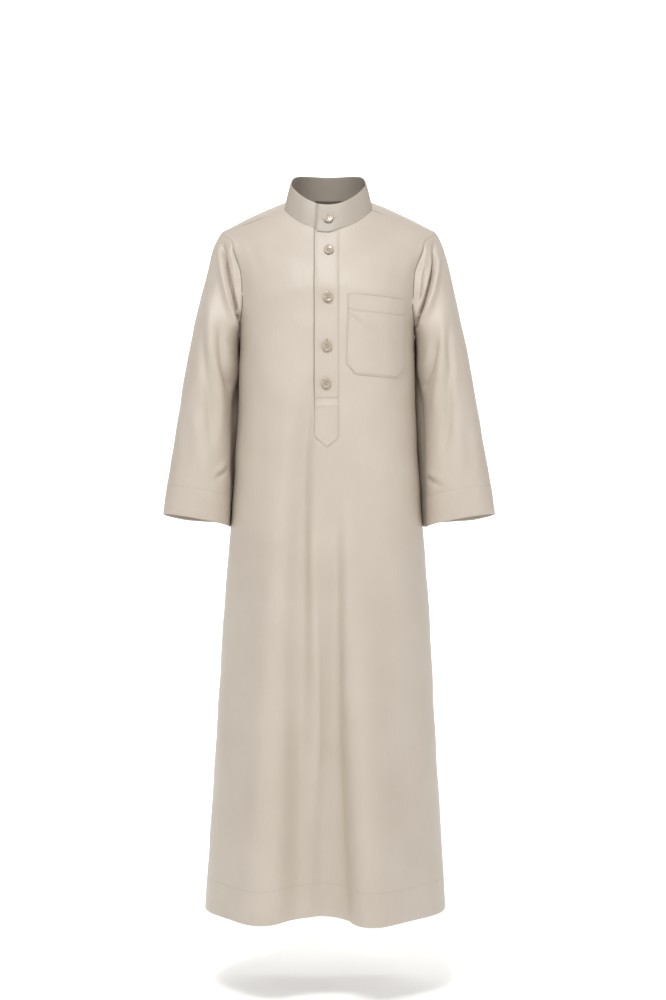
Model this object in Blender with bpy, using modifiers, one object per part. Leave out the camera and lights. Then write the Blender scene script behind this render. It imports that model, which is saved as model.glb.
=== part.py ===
# Thobe robe for a child, hollow and open as it is worn: a long plain robe with a stand collar,
# a buttoned placket, a chest pocket and two set-in sleeves.
# Metres, +Z up. The front faces -Y and the wearer's left is +X.
# The origin is inside the neck, level with the points where the shoulders meet the collar.

import math
from collections import namedtuple

import bmesh
import bpy
import numpy as np
from mathutils import Matrix, Vector

# Walls and gaps
PANEL_WALL = 0.0020
SLEEVE_WALL = 0.0020
COLLAR_WALL = 0.0022
PLACKET_WALL = 0.0016
POCKET_WALL = 0.0014
SEAM_GAP = 0.0003
SHOULDER_SEAM_GAP = 0.0012  # from front to back, where the two walls meet at an angle
LAY_GAP = 0.0005  # a piece that lies on a curved, faceted panel
POCKET_GAP = 0.0010  # the pocket reaches round the side of the chest, where the curve is tighter
SLEEVE_CLEARANCE = 0.0030  # middle of the sleeve's wall to the middle of the side of the body
ARMHOLE_ROOM = 0.0004  # added at the armhole, where both walls are faceted
COLLAR_ROOM = 0.0003  # added under the collar, where the edge of the neck slopes

# Numbers of mesh cells
HALF_FRONT_COLUMNS = 14
HALF_BACK_COLUMNS = 10
ARMHOLE_ROWS = 10  # also the number of columns in half a sleeve
NECK_STEPS = 30  # in each quarter of the neck seam
PLACKET_COLUMNS = 4
UNDER_LAP_COLUMNS = 3
LEAST_STRIP_ROW = 0.2  # the shortest row at a strip's ends, in rows of the panel

# How surfaces are measured
SEARCH_HALVINGS = 22
NORMAL_STEP = 0.01  # in rows, and in shares of a row
ARMHOLE_NORMAL_SHARE = 0.999  # share of a row at which the armhole's normals are read
NECK_NORMAL_SHARE = 0.98  # the same for the neck, where the shoulder seam is a corner

# Placket and slit
SLIT_WIDTH = 0.008
PLACKET_WIDTH = 0.0345
PLACKET_SHOULDER_Z = -0.3370  # where the pointed foot begins
PLACKET_POINT_DROP = 0.0150
UNDER_LAP_WIDTH = 0.0270
UNDER_LAP_FOOT_Z = -0.3050

# Stand collar
COLLAR_HEIGHT_FRONT = 0.0345
COLLAR_HEIGHT_BACK = 0.0330
COLLAR_LEAN = 0.26  # inward for each unit of height
COLLAR_LAP = 0.0160  # each end passes the centre front by this much
COLLAR_LAP_FADE = 0.0300  # the layers come together again over this length
COLLAR_COLUMNS = 44
NECK_MIDDLE_Y = -0.005  # the collar leans towards this line
COLLAR_FRONT_Y = -0.03  # the height is that of the front as far back as this
COLLAR_BACK_Y = 0.04  # and that of the back from here on

# Pocket: its corners on the chest as (x, z), before the lower ones are cut
POCKET_TOP_INNER = (0.0286, -0.1402)
POCKET_TOP_OUTER = (0.1088, -0.1462)
POCKET_FOOT_INNER = (0.0256, -0.2506)
POCKET_FOOT_OUTER = (0.1080, -0.2560)
POCKET_CUT_WIDTH = 0.0120
POCKET_CUT_HEIGHT = 0.0140
POCKET_ROWS = 7
POCKET_COLUMNS = 6  # between the cut corners

# Buttons
BUTTON_RADIUS = 0.0070
BUTTON_THICKNESS = 0.0026
BUTTON_RIM = 0.0017
BUTTON_DISH = 0.0008
BUTTON_EDGE_ROUND = 0.0006
BUTTON_SIDES = 18
BUTTON_HOLE_RADIUS = 0.0008
BUTTON_HOLE_SPREAD = 0.0014  # from the middle to each hole, along X and along Y
BUTTON_HOLE_SIDES = 6
BUTTON_SHARP_ANGLE = 40  # degrees, above which an edge is shaded sharp
COLLAR_BUTTON_SHARE = 0.50  # of the collar's height

ButtonPlace = namedtuple("ButtonPlace", "name x z")
PLACKET_BUTTONS = (
    ButtonPlace("button_1", 0.0022, -0.0785),
    ButtonPlace("button_2", 0.0010, -0.1446),
    ButtonPlace("button_3", -0.0003, -0.2128),
    ButtonPlace("button_4", -0.0015, -0.2639),
)

# One row of the front or back half runs from the centre line to the side of the body, and higher
# up to the shoulder seam. The reaches are how far it keeps its direction at each end. The heading
# and the rise, in degrees, are its direction as it comes to its end. The cut is the share of the
# row that is left inside the armhole.
Section = namedtuple(
    "Section",
    "name rows centre_x centre_y centre_z edge_x edge_y edge_z centre_reach edge_reach heading rise cut",
)
FRONT_SECTIONS = (
    Section("hem", 5, -0.0026, -0.165, -0.998, 0.1697, 0.000, -1.000, 0.114, 0.102, 90, 0, 1),
    Section("shin", 5, -0.0020, -0.152, -0.795, 0.1572, 0.000, -0.795, 0.105, 0.093, 90, 0, 1),
    Section("thigh", 4, -0.0010, -0.137, -0.566, 0.1441, 0.000, -0.566, 0.096, 0.084, 90, 0, 1),
    Section("hip", 3, -0.0008, -0.125, -0.424, 0.1330, 0.000, -0.424, 0.090, 0.077, 90, 0, 1),
    Section("slit foot", 4, -0.0006, -0.118, -0.290, 0.1253, 0.000, -0.290, 0.086, 0.073, 90, 0, 1),
    Section("armpit", 2, 0.0000, -0.112, -0.185, 0.1240, 0.000, -0.185, 0.085, 0.070, 90, 0, 1),
    Section("low armhole", 2, 0.0002, -0.1095, -0.168, 0.1256, 0.000, -0.174, 0.086, 0.071, 90, 0, 0.84),
    Section("mid armhole", 2, 0.0006, -0.1065, -0.144, 0.1290, -0.001, -0.146, 0.084, 0.070, 88, 1, 0.75),
    Section("high armhole", 2, 0.0010, -0.1015, -0.120, 0.1370, -0.003, -0.104, 0.075, 0.061, 79, 3, 0.76),
    Section("cap of armhole", 1, 0.0015, -0.0950, -0.100, 0.1560, -0.003, -0.059, 0.062, 0.050, 60, 5, 0.79),
    Section("top of armhole", 1, 0.0018, -0.0910, -0.091, 0.1560, -0.003, -0.050, 0.056, 0.047, 50, 5, 0.88),
    Section("shoulder point", 3, 0.0020, -0.0870, -0.083, 0.1535, -0.004, -0.048, 0.050, 0.044, 42, 3, 1),
    Section("mid shoulder", 2, 0.0018, -0.0760, -0.062, 0.0980, -0.021, -0.0275, 0.040, 0.026, 56, 17, 1),
    Section("neck", 0, 0.0016, -0.0680, -0.046, 0.0608, -0.030, -0.0155, 0.034, 0.018, 74, 22, 1),
)
BACK_SECTIONS = (
    Section("hem", 5, -0.0026, 0.152, -0.998, 0.1697, 0.000, -1.000, 0.112, 0.096, 90, 0, 1),
    Section("shin", 5, -0.0020, 0.140, -0.795, 0.1572, 0.000, -0.795, 0.104, 0.087, 90, 0, 1),
    Section("thigh", 4, -0.0010, 0.128, -0.566, 0.1441, 0.000, -0.566, 0.095, 0.079, 90, 0, 1),
    Section("hip", 3, -0.0008, 0.117, -0.424, 0.1330, 0.000, -0.424, 0.088, 0.072, 90, 0, 1),
    Section("slit foot", 4, -0.0006, 0.108, -0.290, 0.1253, 0.000, -0.290, 0.083, 0.066, 90, 0, 1),
    Section("armpit", 2, 0.0000, 0.106, -0.185, 0.1240, 0.000, -0.185, 0.082, 0.064, 90, 0, 1),
    Section("low armhole", 2, 0.0002, 0.1050, -0.165, 0.1262, 0.000, -0.174, 0.082, 0.065, 90, 0, 0.84),
    Section("mid armhole", 2, 0.0006, 0.1020, -0.137, 0.1315, 0.000, -0.146, 0.081, 0.064, 88, -1, 0.75),
    Section("high armhole", 2, 0.0010, 0.0970, -0.107, 0.1420, -0.001, -0.106, 0.078, 0.060, 80, -5, 0.76),
    Section("cap of armhole", 1, 0.0015, 0.0900, -0.079, 0.1590, -0.002, -0.066, 0.070, 0.054, 72, -17, 0.80),
    Section("top of armhole", 1, 0.0018, 0.0860, -0.062, 0.1570, -0.003, -0.055, 0.063, 0.058, 68, -28, 0.90),
    Section("shoulder point", 3, 0.0020, 0.0820, -0.047, 0.1535, -0.004, -0.048, 0.058, 0.062, 63, -36, 1),
    Section("mid shoulder", 2, 0.0018, 0.0680, -0.015, 0.0980, -0.021, -0.0275, 0.052, 0.055, 83, -37, 1),
    Section("neck", 0, 0.0016, 0.0560, 0.006, 0.0608, -0.030, -0.0155, 0.042, 0.044, 92, -33, 1),
)
ROW_CORNERS = {  # where a column of these tables turns sharply
    "edge_x": ("shoulder point",),
    "edge_y": ("shoulder point",),
    "edge_z": ("shoulder point",),
    "cut": ("armpit", "shoulder point"),
}

# Soft folds of the skirt: how far each one stands out of the cloth, or lies in it
Fold = namedtuple("Fold", "name top_x hem_x top_z full_z depth half_width")
FRONT_FOLDS = (
    Fold("ridge over the right leg", -0.062, -0.094, -0.400, -0.960, 0.022, 0.036),
    Fold("flank", -0.037, -0.052, -0.300, -0.560, -0.005, 0.016),
    Fold("valley between the legs", 0.002, -0.006, -0.430, -0.980, -0.030, 0.032),
    Fold("ridge over the left leg", 0.030, 0.068, -0.360, -0.960, 0.026, 0.042),
)
BACK_FOLDS = (
    Fold("right flute", -0.052, -0.086, -0.330, -0.960, 0.018, 0.036),
    Fold("middle trough", 0.000, -0.010, -0.420, -0.960, -0.016, 0.034),
    Fold("left flute", 0.050, 0.078, -0.360, -0.960, 0.020, 0.040),
)
HEM_DIP = 0.16  # the hem hangs lower where a fold stands out, by this share of the fold
HEM_DIP_START = 0.75  # below the origin
HEM_DIP_END = 1.0
FOLD_FADE_POWER = 4  # how late the folds flatten on the way to the side seam

# Rings of a sleeve, from the armhole to the cuff: its outer and inner lines seen from the front,
# half its depth, how far its middle comes forward, and the tilt of the ring in degrees.
Ring = namedtuple("Ring", "name rows outer_x outer_z inner_x inner_z half_depth middle_y tilt")
SLEEVE_RINGS = (
    Ring("armhole", 1, 0.1550, -0.0480, 0.1262, -0.1850, 0.060, -0.001, 0.0),
    Ring("cap", 2, 0.1635, -0.0675, 0.1264, -0.1900, 0.060, -0.001, 0.0),
    Ring("roll", 2, 0.1762, -0.1190, 0.1266, -0.2060, 0.057, -0.002, 0.5),
    Ring("upper arm", 2, 0.1922, -0.1900, 0.1270, -0.2400, 0.053, -0.006, 1.5),
    Ring("elbow", 2, 0.2062, -0.2700, 0.1275, -0.2920, 0.048, -0.013, 3.0),
    Ring("forearm", 2, 0.2190, -0.3510, 0.1290, -0.3660, 0.042, -0.023, 5.0),
    Ring("cuff seam", 1, 0.2275, -0.4050, 0.1330, -0.4210, 0.038, -0.029, 6.0),
    Ring("cuff", 0, 0.2335, -0.4440, 0.1392, -0.4610, 0.034, -0.033, 6.0),
)
SLEEVE_SPREAD = {"left": 0.0030, "right": -0.0025}  # how much further out each cuff hangs
INNER_SPREAD = 0.5  # share of that by which the inner line moves
CAP_FADE = 0.45  # share of the sleeve over which the armhole's own shape fades out

CLOTH_COLOUR = (0.70, 0.60, 0.49)
BUTTON_COLOUR = (0.56, 0.46, 0.35)
CLOTH_ROUGHNESS = 0.72
BUTTON_ROUGHNESS = 0.35


def smooth_curve(knots, values):
    """A function that passes through the values and never overshoots them."""
    steps = np.diff(knots)
    slopes = np.diff(values) / steps
    tangents = np.concatenate([slopes[:1], np.zeros(len(slopes) - 1), slopes[-1:]])
    for i in range(1, len(slopes)):
        before, after = slopes[i - 1], slopes[i]
        if before * after > 0:
            tangents[i] = 2 * before * after / (before + after)

    def value(at):
        i = int(np.clip(np.searchsorted(knots, at, side="right") - 1, 0, len(steps) - 1))
        t = (at - knots[i]) / steps[i]
        rise = values[i + 1] - values[i]
        bend = (1 - t) * (tangents[i] * steps[i] - rise) + t * (rise - tangents[i + 1] * steps[i])
        return values[i] + t * rise + t * (1 - t) * bend

    return value


def cornered_curve(knots, values, corners):
    """A smooth curve on each stretch between corners, which turns sharply at each of them."""
    ends = [0, *corners, len(knots) - 1]
    stretches = [
        smooth_curve(knots[start : end + 1], values[start : end + 1]) for start, end in zip(ends, ends[1:])
    ]

    def value(at):
        return stretches[sum(at > knots[corner] for corner in corners)](at)

    return value


def curves_of(table, first_field, corner_names):
    """Where each row of the table lies, in mesh rows, and a curve for each column."""
    knots = np.cumsum([0] + [row.rows for row in table[:-1]]).astype(float)
    fields = table[0]._fields
    curves = {}
    for field in fields[fields.index(first_field) :]:
        values = [getattr(row, field) for row in table]
        corners = [i for i, row in enumerate(table) if row.name in corner_names.get(field, ())]
        curves[field] = cornered_curve(knots, values, corners)
    return knots, curves


def cut_curve(points, share):
    """The control points of the first share of a cubic curve, found by halving lines at the share."""
    level = list(points)
    kept = [level[0]]
    while len(level) > 1:
        level = [a + (b - a) * share for a, b in zip(level, level[1:])]
        kept.append(level[0])
    return kept


def ramp(value, start, end):
    """0 before the start and 1 past the end, with a smooth rise between."""
    share = min(max((value - start) / (end - start), 0.0), 1.0)
    return share * share * (3 - 2 * share)


class Panel:
    """The front or the back of the body: a surface swept through its sections."""

    def __init__(self, sections, folds, facing):
        self.facing = facing  # -1 for the front, 1 for the back
        self.folds = folds
        self.names = [section.name for section in sections]
        self.knots, self.curves = curves_of(sections, "centre_x", ROW_CORNERS)
        self.rows = int(self.knots[-1])
        self.controls_at = {}

    def place_of(self, name):
        return self.knots[self.names.index(name)]

    def controls(self, place):
        """The four control points of one row's curve, on the wearer's left."""
        key = round(float(place), 6)
        if key not in self.controls_at:
            at = {name: curve(place) for name, curve in self.curves.items()}
            heading, rise = math.radians(at["heading"]), math.radians(at["rise"])
            centre = np.array([0.0, at["centre_y"], at["centre_z"]])
            shoulder = ramp(place, self.place_of("cap of armhole"), self.place_of("shoulder point"))
            seam = SEAM_GAP + (SHOULDER_SEAM_GAP - SEAM_GAP) * shoulder
            edge = np.array([at["edge_x"], at["edge_y"] + self.facing * seam / 2, at["edge_z"]])
            along = np.array(
                [
                    math.cos(heading) * math.cos(rise),
                    -self.facing * math.sin(heading) * math.cos(rise),
                    math.sin(rise),
                ]
            )
            start = centre + np.array([at["centre_reach"], 0, 0])
            end = edge - at["edge_reach"] * along
            kept = cut_curve([centre, start, end, edge], at["cut"])
            self.controls_at[key] = (*kept, at["centre_x"])
        return self.controls_at[key]

    def point(self, place, share, side):
        """The point at this share of the way from the centre line to the edge."""
        centre, start, end, edge, shift = self.controls(place)
        rest = 1 - share
        found = rest**3 * centre + 3 * rest**2 * share * start + 3 * rest * share**2 * end + share**3 * edge
        found = found * np.array([side, 1, 1]) + np.array([shift, 0, 0])
        fold = self.fold_height(found[0], found[2]) * (1 - share**FOLD_FADE_POWER)
        found[1] += self.facing * fold
        found[2] -= HEM_DIP * fold * ramp(-found[2], HEM_DIP_START, HEM_DIP_END)
        return found

    def fold_height(self, x, z):
        height = 0.0
        for fold in self.folds:
            down = min(max((fold.top_z - z) / (fold.top_z + 1.0), 0.0), 1.0)
            middle = fold.top_x + (fold.hem_x - fold.top_x) * down
            grown = ramp(-z, -fold.top_z, -fold.full_z)
            height += fold.depth * grown * math.exp(-(((x - middle) / fold.half_width) ** 2))
        return height

    def share_at_x(self, place, distance):
        """The share at which a row is this far from the centre line."""
        low, high = 0.0, 1.0
        centre, start, end, edge, _ = self.controls(place)
        for _ in range(SEARCH_HALVINGS):
            share = (low + high) / 2
            rest = 1 - share
            x = 3 * rest**2 * share * start[0] + 3 * rest * share**2 * end[0] + share**3 * edge[0]
            low, high = (share, high) if x < distance else (low, share)
        return (low + high) / 2

    def seen_at(self, place, x):
        """The share and the side at which a row is seen at this x."""
        offset = x - self.controls(place)[4]
        return self.share_at_x(place, abs(offset)), 1 if offset >= 0 else -1

    def place_at(self, x, z):
        """The row, the share and the side of the point that is seen at this x and z."""
        low, high = 0.0, float(self.rows)
        for _ in range(SEARCH_HALVINGS):
            place = (low + high) / 2
            share, side = self.seen_at(place, x)
            low, high = (place, high) if self.point(place, share, side)[2] < z else (low, place)
        return place, share, side

    def raised(self, x, z, distance):
        """The point seen at this x and z, moved out of the cloth by the distance."""
        place, share, side = self.place_at(x, z)
        return self.point(place, share, side) + distance * self.normal(place, share, side)

    def normal(self, place, share, side):
        low = self.point(max(place - NORMAL_STEP, 0), share, side)
        high = self.point(min(place + NORMAL_STEP, self.rows), share, side)
        inner = self.point(place, max(share - NORMAL_STEP, 0), side)
        outer = self.point(place, min(share + NORMAL_STEP, 1), side)
        normal = np.cross(outer - inner, high - low)
        normal /= np.linalg.norm(normal)
        return normal if normal[1] * self.facing > 0 else -normal

    def row_of_points(self, place, columns, gap):
        """One mesh row from edge to edge. A gap keeps the middle columns clear of the centre line."""
        first = self.share_at_x(place, gap / 2) if gap else 0.0
        shares = np.linspace(first, 1.0, columns + 1)
        left = [self.point(place, share, 1) for share in shares]
        right = [self.point(place, share, -1) for share in shares]
        return right[::-1] + (left if gap else left[1:])

    def grid(self, columns, gap=0.0):
        return [self.row_of_points(place, columns, gap) for place in range(self.rows + 1)]


def plain_material(name, colour, roughness):
    material = bpy.data.materials.new(name)
    material.use_nodes = True
    shader = material.node_tree.nodes["Principled BSDF"]
    shader.inputs["Base Color"].default_value = (*colour, 1.0)
    shader.inputs["Roughness"].default_value = roughness
    shader.inputs["Metallic"].default_value = 0.0
    material.diffuse_color = (*colour, 1.0)
    return material


def add_object(name, mesh, collection, material):
    made = bpy.data.objects.new(name, mesh)
    collection.objects.link(made)
    mesh.materials.append(material)
    mesh.shade_smooth()
    return made


def add_sheet(name, grid, wall, collection, material, closed=False, left_out=()):
    """A wall of cloth through a grid of points. Cells that are left out stay open."""
    bm = bmesh.new()
    rows = [[bm.verts.new(point) for point in row] for row in grid]
    columns = len(rows[0]) if closed else len(rows[0]) - 1
    for i in range(len(rows) - 1):
        for j in range(columns):
            if (i, j) not in left_out:
                k = (j + 1) % len(rows[0])
                bm.faces.new((rows[i][j], rows[i][k], rows[i + 1][k], rows[i + 1][j]))
    mesh = bpy.data.meshes.new(name)
    bm.to_mesh(mesh)
    bm.free()
    made = add_object(name, mesh, collection, material)
    solidify = made.modifiers.new("wall", "SOLIDIFY")
    solidify.thickness = wall
    solidify.offset = 0.0
    solidify.use_rim = True
    return made


def build_front(front, collection, material):
    """One piece from neck to hem, slit at the centre front above the foot of the placket."""
    slit_row = int(front.place_of("slit foot"))
    slit = {(i, HALF_FRONT_COLUMNS) for i in range(slit_row, front.rows)}
    grid = front.grid(HALF_FRONT_COLUMNS, SLIT_WIDTH)
    return add_sheet("front_panel", grid, PANEL_WALL, collection, material, left_out=slit)


def build_back(back, collection, material):
    grid = back.grid(HALF_BACK_COLUMNS)
    return add_sheet("back_panel", grid, PANEL_WALL, collection, material)


def armhole_loop(front, back, side):
    """The armhole's edge from the shoulder point down the front and up the back, moved to the seam."""
    low = front.place_of("armpit")
    places = [(front, low + ARMHOLE_ROWS - j) for j in range(ARMHOLE_ROWS + 1)]
    places += [(back, low + j) for j in range(1, ARMHOLE_ROWS)]
    loop = []
    for panel, place in places:
        normal = panel.normal(place, ARMHOLE_NORMAL_SHARE, side)
        clear = SEAM_GAP + (PANEL_WALL + SLEEVE_WALL) / 2 * abs(normal[0]) + ARMHOLE_ROOM
        loop.append(panel.point(place, 1.0, side) + np.array([side * clear, 0, 0]))
    return loop


def ring_points(ring, side, spread, columns):
    """A tilted oval between the outer and inner lines of the sleeve."""
    outer = np.array([ring["outer_x"] + spread, 0, ring["outer_z"]])
    inner = np.array([ring["inner_x"] + spread * INNER_SPREAD, 0, ring["inner_z"]])
    middle = (outer + inner) / 2 + np.array([0, ring["middle_y"], 0])
    tilt = math.radians(ring["tilt"])
    back = np.array([0, math.cos(tilt), -math.sin(tilt)]) * ring["half_depth"]
    points = []
    for j in range(columns):
        turn = 2 * math.pi * j / columns
        point = middle + (outer - inner) / 2 * math.cos(turn) - back * math.sin(turn)
        points.append(point * np.array([side, 1, 1]))
    return points


def body_side_x(front, back, y, z, side):
    """How far out one side of the body reaches at this depth and height, below the armhole."""
    panel = front if y < 0 else back
    low, high = 0.0, panel.place_of("armpit")
    for _ in range(SEARCH_HALVINGS):
        place = (low + high) / 2
        low, high = (place, high) if panel.point(place, 1.0, side)[2] < z else (low, place)
    low, high = 0.0, 1.0
    for _ in range(SEARCH_HALVINGS):
        share = (low + high) / 2
        deeper = abs(panel.point(place, share, side)[1]) > abs(y)
        low, high = (share, high) if deeper else (low, share)
    return side * panel.point(place, share, side)[0]


def build_sleeve(name, side, spread, front, back, collection, material):
    """A tube from the armhole to the cuff, which lies just clear of the side of the body."""
    columns = 2 * ARMHOLE_ROWS
    knots, curves = curves_of(SLEEVE_RINGS, "outer_x", {})
    rings = int(knots[-1])
    loop = armhole_loop(front, back, side)
    start = ring_points({key: curve(0) for key, curve in curves.items()}, side, 0.0, columns)
    armpit_z = front.point(front.place_of("armpit"), 1.0, 1)[2]
    grid = []
    for i in range(rings + 1):
        share = i / rings
        at = {key: curve(i) for key, curve in curves.items()}
        oval = ring_points(at, side, spread * share, columns)
        own_shape = 1 - ramp(share, 0, CAP_FADE)
        row = []
        for j in range(columns):
            point = oval[j] + (loop[j] - start[j]) * own_shape
            if i > 0 and point[2] < armpit_z:
                least = body_side_x(front, back, point[1], point[2], side) + SLEEVE_CLEARANCE
                point[0] = side * max(side * point[0], least)
            row.append(point)
        grid.append(row)
    return add_sheet(name, grid, SLEEVE_WALL, collection, material, closed=True)


class Neckline:
    """The closed neck seam, measured along its length from the centre front to the wearer's left."""

    def __init__(self, front, back):
        shares = np.linspace(0.0, 1.0, NECK_STEPS + 1)
        runs = (
            [(front, share, 1) for share in shares[:-1]]
            + [(back, share, 1) for share in shares[:0:-1]]
            + [(back, share, -1) for share in shares[:-1]]
            + [(front, share, -1) for share in shares[::-1]]
        )
        self.points = np.array([panel.point(panel.rows, share, side) for panel, share, side in runs])
        self.normals = np.array(
            [panel.normal(panel.rows, min(share, NECK_NORMAL_SHARE), side) for panel, share, side in runs]
        )
        pieces = np.linalg.norm(np.diff(self.points, axis=0), axis=1)
        self.lengths = np.concatenate([[0.0], np.cumsum(pieces)])
        self.length = self.lengths[-1]

    def at(self, length, values):
        length = length % self.length
        return np.array([np.interp(length, self.lengths, values[:, k]) for k in range(3)])

    def collar_point(self, length, height_share):
        """The middle of the collar's wall. Its two ends pass each other at the centre front."""
        seam = self.at(length, self.points)
        normal = self.at(length, self.normals)
        outward = np.array([seam[0], seam[1] - NECK_MIDDLE_Y, 0.0])
        outward /= np.linalg.norm(outward)
        at_back = ramp(seam[1], COLLAR_FRONT_Y, COLLAR_BACK_Y)
        height = COLLAR_HEIGHT_FRONT + (COLLAR_HEIGHT_BACK - COLLAR_HEIGHT_FRONT) * at_back
        over = 1 - ramp(length, COLLAR_LAP, COLLAR_LAP + COLLAR_LAP_FADE)
        under = ramp(length, self.length - COLLAR_LAP - COLLAR_LAP_FADE, self.length - COLLAR_LAP)
        apart = (COLLAR_WALL + LAY_GAP) / 2 * (over - under)
        lift = SEAM_GAP + PANEL_WALL / 2 * abs(normal[2]) + COLLAR_ROOM
        rise = lift + (height - lift) * height_share
        return seam + outward * (apart - COLLAR_LEAN * height * height_share) + np.array([0, 0, rise])


def build_collar(neckline, collection, material):
    """A stand collar whose left end laps over the right one."""
    lengths = np.linspace(-COLLAR_LAP, neckline.length + COLLAR_LAP, COLLAR_COLUMNS + 1)
    grid = [[neckline.collar_point(length, share) for length in lengths] for share in (0.0, 0.5, 1.0)]
    return add_sheet("collar", grid, COLLAR_WALL, collection, material)


def strip_rows(front, offsets, tops, feet):
    """The points of a strip as (row place, x): one row at each of the panel's own, between its two ends."""
    top_places = [front.place_at(x, z)[0] for x, z in zip(offsets, tops)]
    foot_places = [front.place_at(x, z)[0] for x, z in zip(offsets, feet)]
    between = range(math.floor(min(top_places)), math.ceil(max(foot_places)), -1)
    lowest = max(foot_places) + LEAST_STRIP_ROW
    highest = min(top_places) - LEAST_STRIP_ROW
    inner = [place for place in between if lowest < place < highest]
    return [top_places, *([place] * len(offsets) for place in inner), foot_places]


def build_strip(name, front, offsets, tops, feet, raise_by, collection, material):
    """A strip of the placket, on the panel's own rows and moved out of the panel or behind it."""
    grid = []
    for places in strip_rows(front, offsets, tops, feet):
        row = []
        for place, x in zip(places, offsets):
            share, side = front.seen_at(place, x)
            row.append(front.point(place, share, side) + raise_by * front.normal(place, share, side))
        grid.append(row)
    return add_sheet(name, grid, PLACKET_WALL, collection, material)


def build_placket(front, neckline, collection, material):
    """The top lap, from the collar down to its pointed foot."""
    half = PLACKET_WIDTH / 2
    offsets = np.linspace(-half, half, PLACKET_COLUMNS + 1)
    tops = [neckline.collar_point(x, 0.0)[2] - PLACKET_WALL - SEAM_GAP for x in offsets]
    feet = [PLACKET_SHOULDER_Z - PLACKET_POINT_DROP * (1 - abs(x) / half) for x in offsets]
    raise_by = PANEL_WALL / 2 + LAY_GAP + PLACKET_WALL / 2
    return build_strip("placket", front, offsets, tops, feet, raise_by, collection, material)


def build_under_lap(front, neckline, collection, material):
    """The strip behind the slit, under the top lap."""
    half = UNDER_LAP_WIDTH / 2
    offsets = np.linspace(-half, half, UNDER_LAP_COLUMNS + 1)
    tops = [neckline.points[0][2] - PANEL_WALL - SEAM_GAP] * len(offsets)
    feet = [UNDER_LAP_FOOT_Z] * len(offsets)
    lower_by = -(PANEL_WALL / 2 + LAY_GAP + PLACKET_WALL / 2)
    return build_strip("placket_under", front, offsets, tops, feet, lower_by, collection, material)


def build_pocket(front, collection, material):
    """A patch pocket with cut lower corners, on the wearer's left of the chest."""
    corners = [np.array(corner) for corner in (POCKET_TOP_INNER, POCKET_TOP_OUTER)]
    feet = [np.array(corner) for corner in (POCKET_FOOT_INNER, POCKET_FOOT_OUTER)]
    width = np.linalg.norm(corners[1] - corners[0])
    height = np.linalg.norm(feet[0] - corners[0])
    cut_across, cut_up = POCKET_CUT_WIDTH / width, POCKET_CUT_HEIGHT / height
    across = [0.0, *np.linspace(cut_across, 1 - cut_across, POCKET_COLUMNS + 1), 1.0]
    raise_by = PANEL_WALL / 2 + POCKET_GAP + POCKET_WALL / 2
    grid = []
    for i in range(POCKET_ROWS + 1):
        row = []
        for share in across:
            foot = 1 - cut_up * max(0.0, 1 - min(share, 1 - share) / cut_across)
            down = foot * i / POCKET_ROWS
            top = corners[0] + (corners[1] - corners[0]) * share
            bottom = feet[0] + (feet[1] - feet[0]) * share
            x, z = top + (bottom - top) * down
            row.append(front.raised(x, z, raise_by))
        grid.append(row)
    return add_sheet("pocket", grid, POCKET_WALL, collection, material)


def button_mesh(cutters):
    """A turned button with a raised rim, a dished middle and four holes."""
    profile = (
        (0.0, BUTTON_THICKNESS - BUTTON_DISH),
        (BUTTON_RADIUS - BUTTON_RIM - BUTTON_EDGE_ROUND, BUTTON_THICKNESS - BUTTON_DISH),
        (BUTTON_RADIUS - BUTTON_RIM, BUTTON_THICKNESS),
        (BUTTON_RADIUS - BUTTON_EDGE_ROUND, BUTTON_THICKNESS),
        (BUTTON_RADIUS, BUTTON_THICKNESS - BUTTON_EDGE_ROUND),
        (BUTTON_RADIUS, BUTTON_EDGE_ROUND),
        (BUTTON_RADIUS - BUTTON_EDGE_ROUND, 0.0),
        (0.0, 0.0),
    )
    bm = bmesh.new()
    points = [bm.verts.new((x, 0, z)) for x, z in profile]
    for first, second in zip(points, points[1:]):
        bm.edges.new((first, second))
    turned = bpy.data.meshes.new("button turned")
    bm.to_mesh(turned)
    bm.free()
    blank = bpy.data.objects.new("button blank", turned)
    cutters.objects.link(blank)
    screw = blank.modifiers.new("turn", "SCREW")
    screw.steps = screw.render_steps = BUTTON_SIDES
    screw.use_merge_vertices = True
    screw.merge_threshold = 0.00001
    bm = bmesh.new()
    for x in (-BUTTON_HOLE_SPREAD, BUTTON_HOLE_SPREAD):
        for y in (-BUTTON_HOLE_SPREAD, BUTTON_HOLE_SPREAD):
            bmesh.ops.create_cone(
                bm,
                cap_ends=True,
                segments=BUTTON_HOLE_SIDES,
                radius1=BUTTON_HOLE_RADIUS,
                radius2=BUTTON_HOLE_RADIUS,
                depth=4 * BUTTON_THICKNESS,
                matrix=Matrix.Translation((x, y, 0)),
            )
    holes = bpy.data.meshes.new("button holes")
    bm.to_mesh(holes)
    bm.free()
    drill = bpy.data.objects.new("button drill", holes)
    cutters.objects.link(drill)
    for guide in (blank, drill):
        guide.hide_render = True
        guide.display_type = "WIRE"
    cut = blank.modifiers.new("holes", "BOOLEAN")
    cut.operation = "DIFFERENCE"
    cut.object = drill
    bpy.context.view_layer.update()
    made = bpy.data.meshes.new_from_object(blank.evaluated_get(bpy.context.evaluated_depsgraph_get()))
    made.name = "button"
    return made


def place_button(name, mesh, point, normal, collection, material):
    """A button that faces along the normal, with its back at the point."""
    made = bpy.data.objects.new(name, mesh)
    collection.objects.link(made)
    if not mesh.materials:
        mesh.materials.append(material)
    turn = Vector((0, 0, 1)).rotation_difference(Vector(normal))
    made.rotation_mode = "QUATERNION"
    made.rotation_quaternion = turn
    made.location = point
    return made


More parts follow.
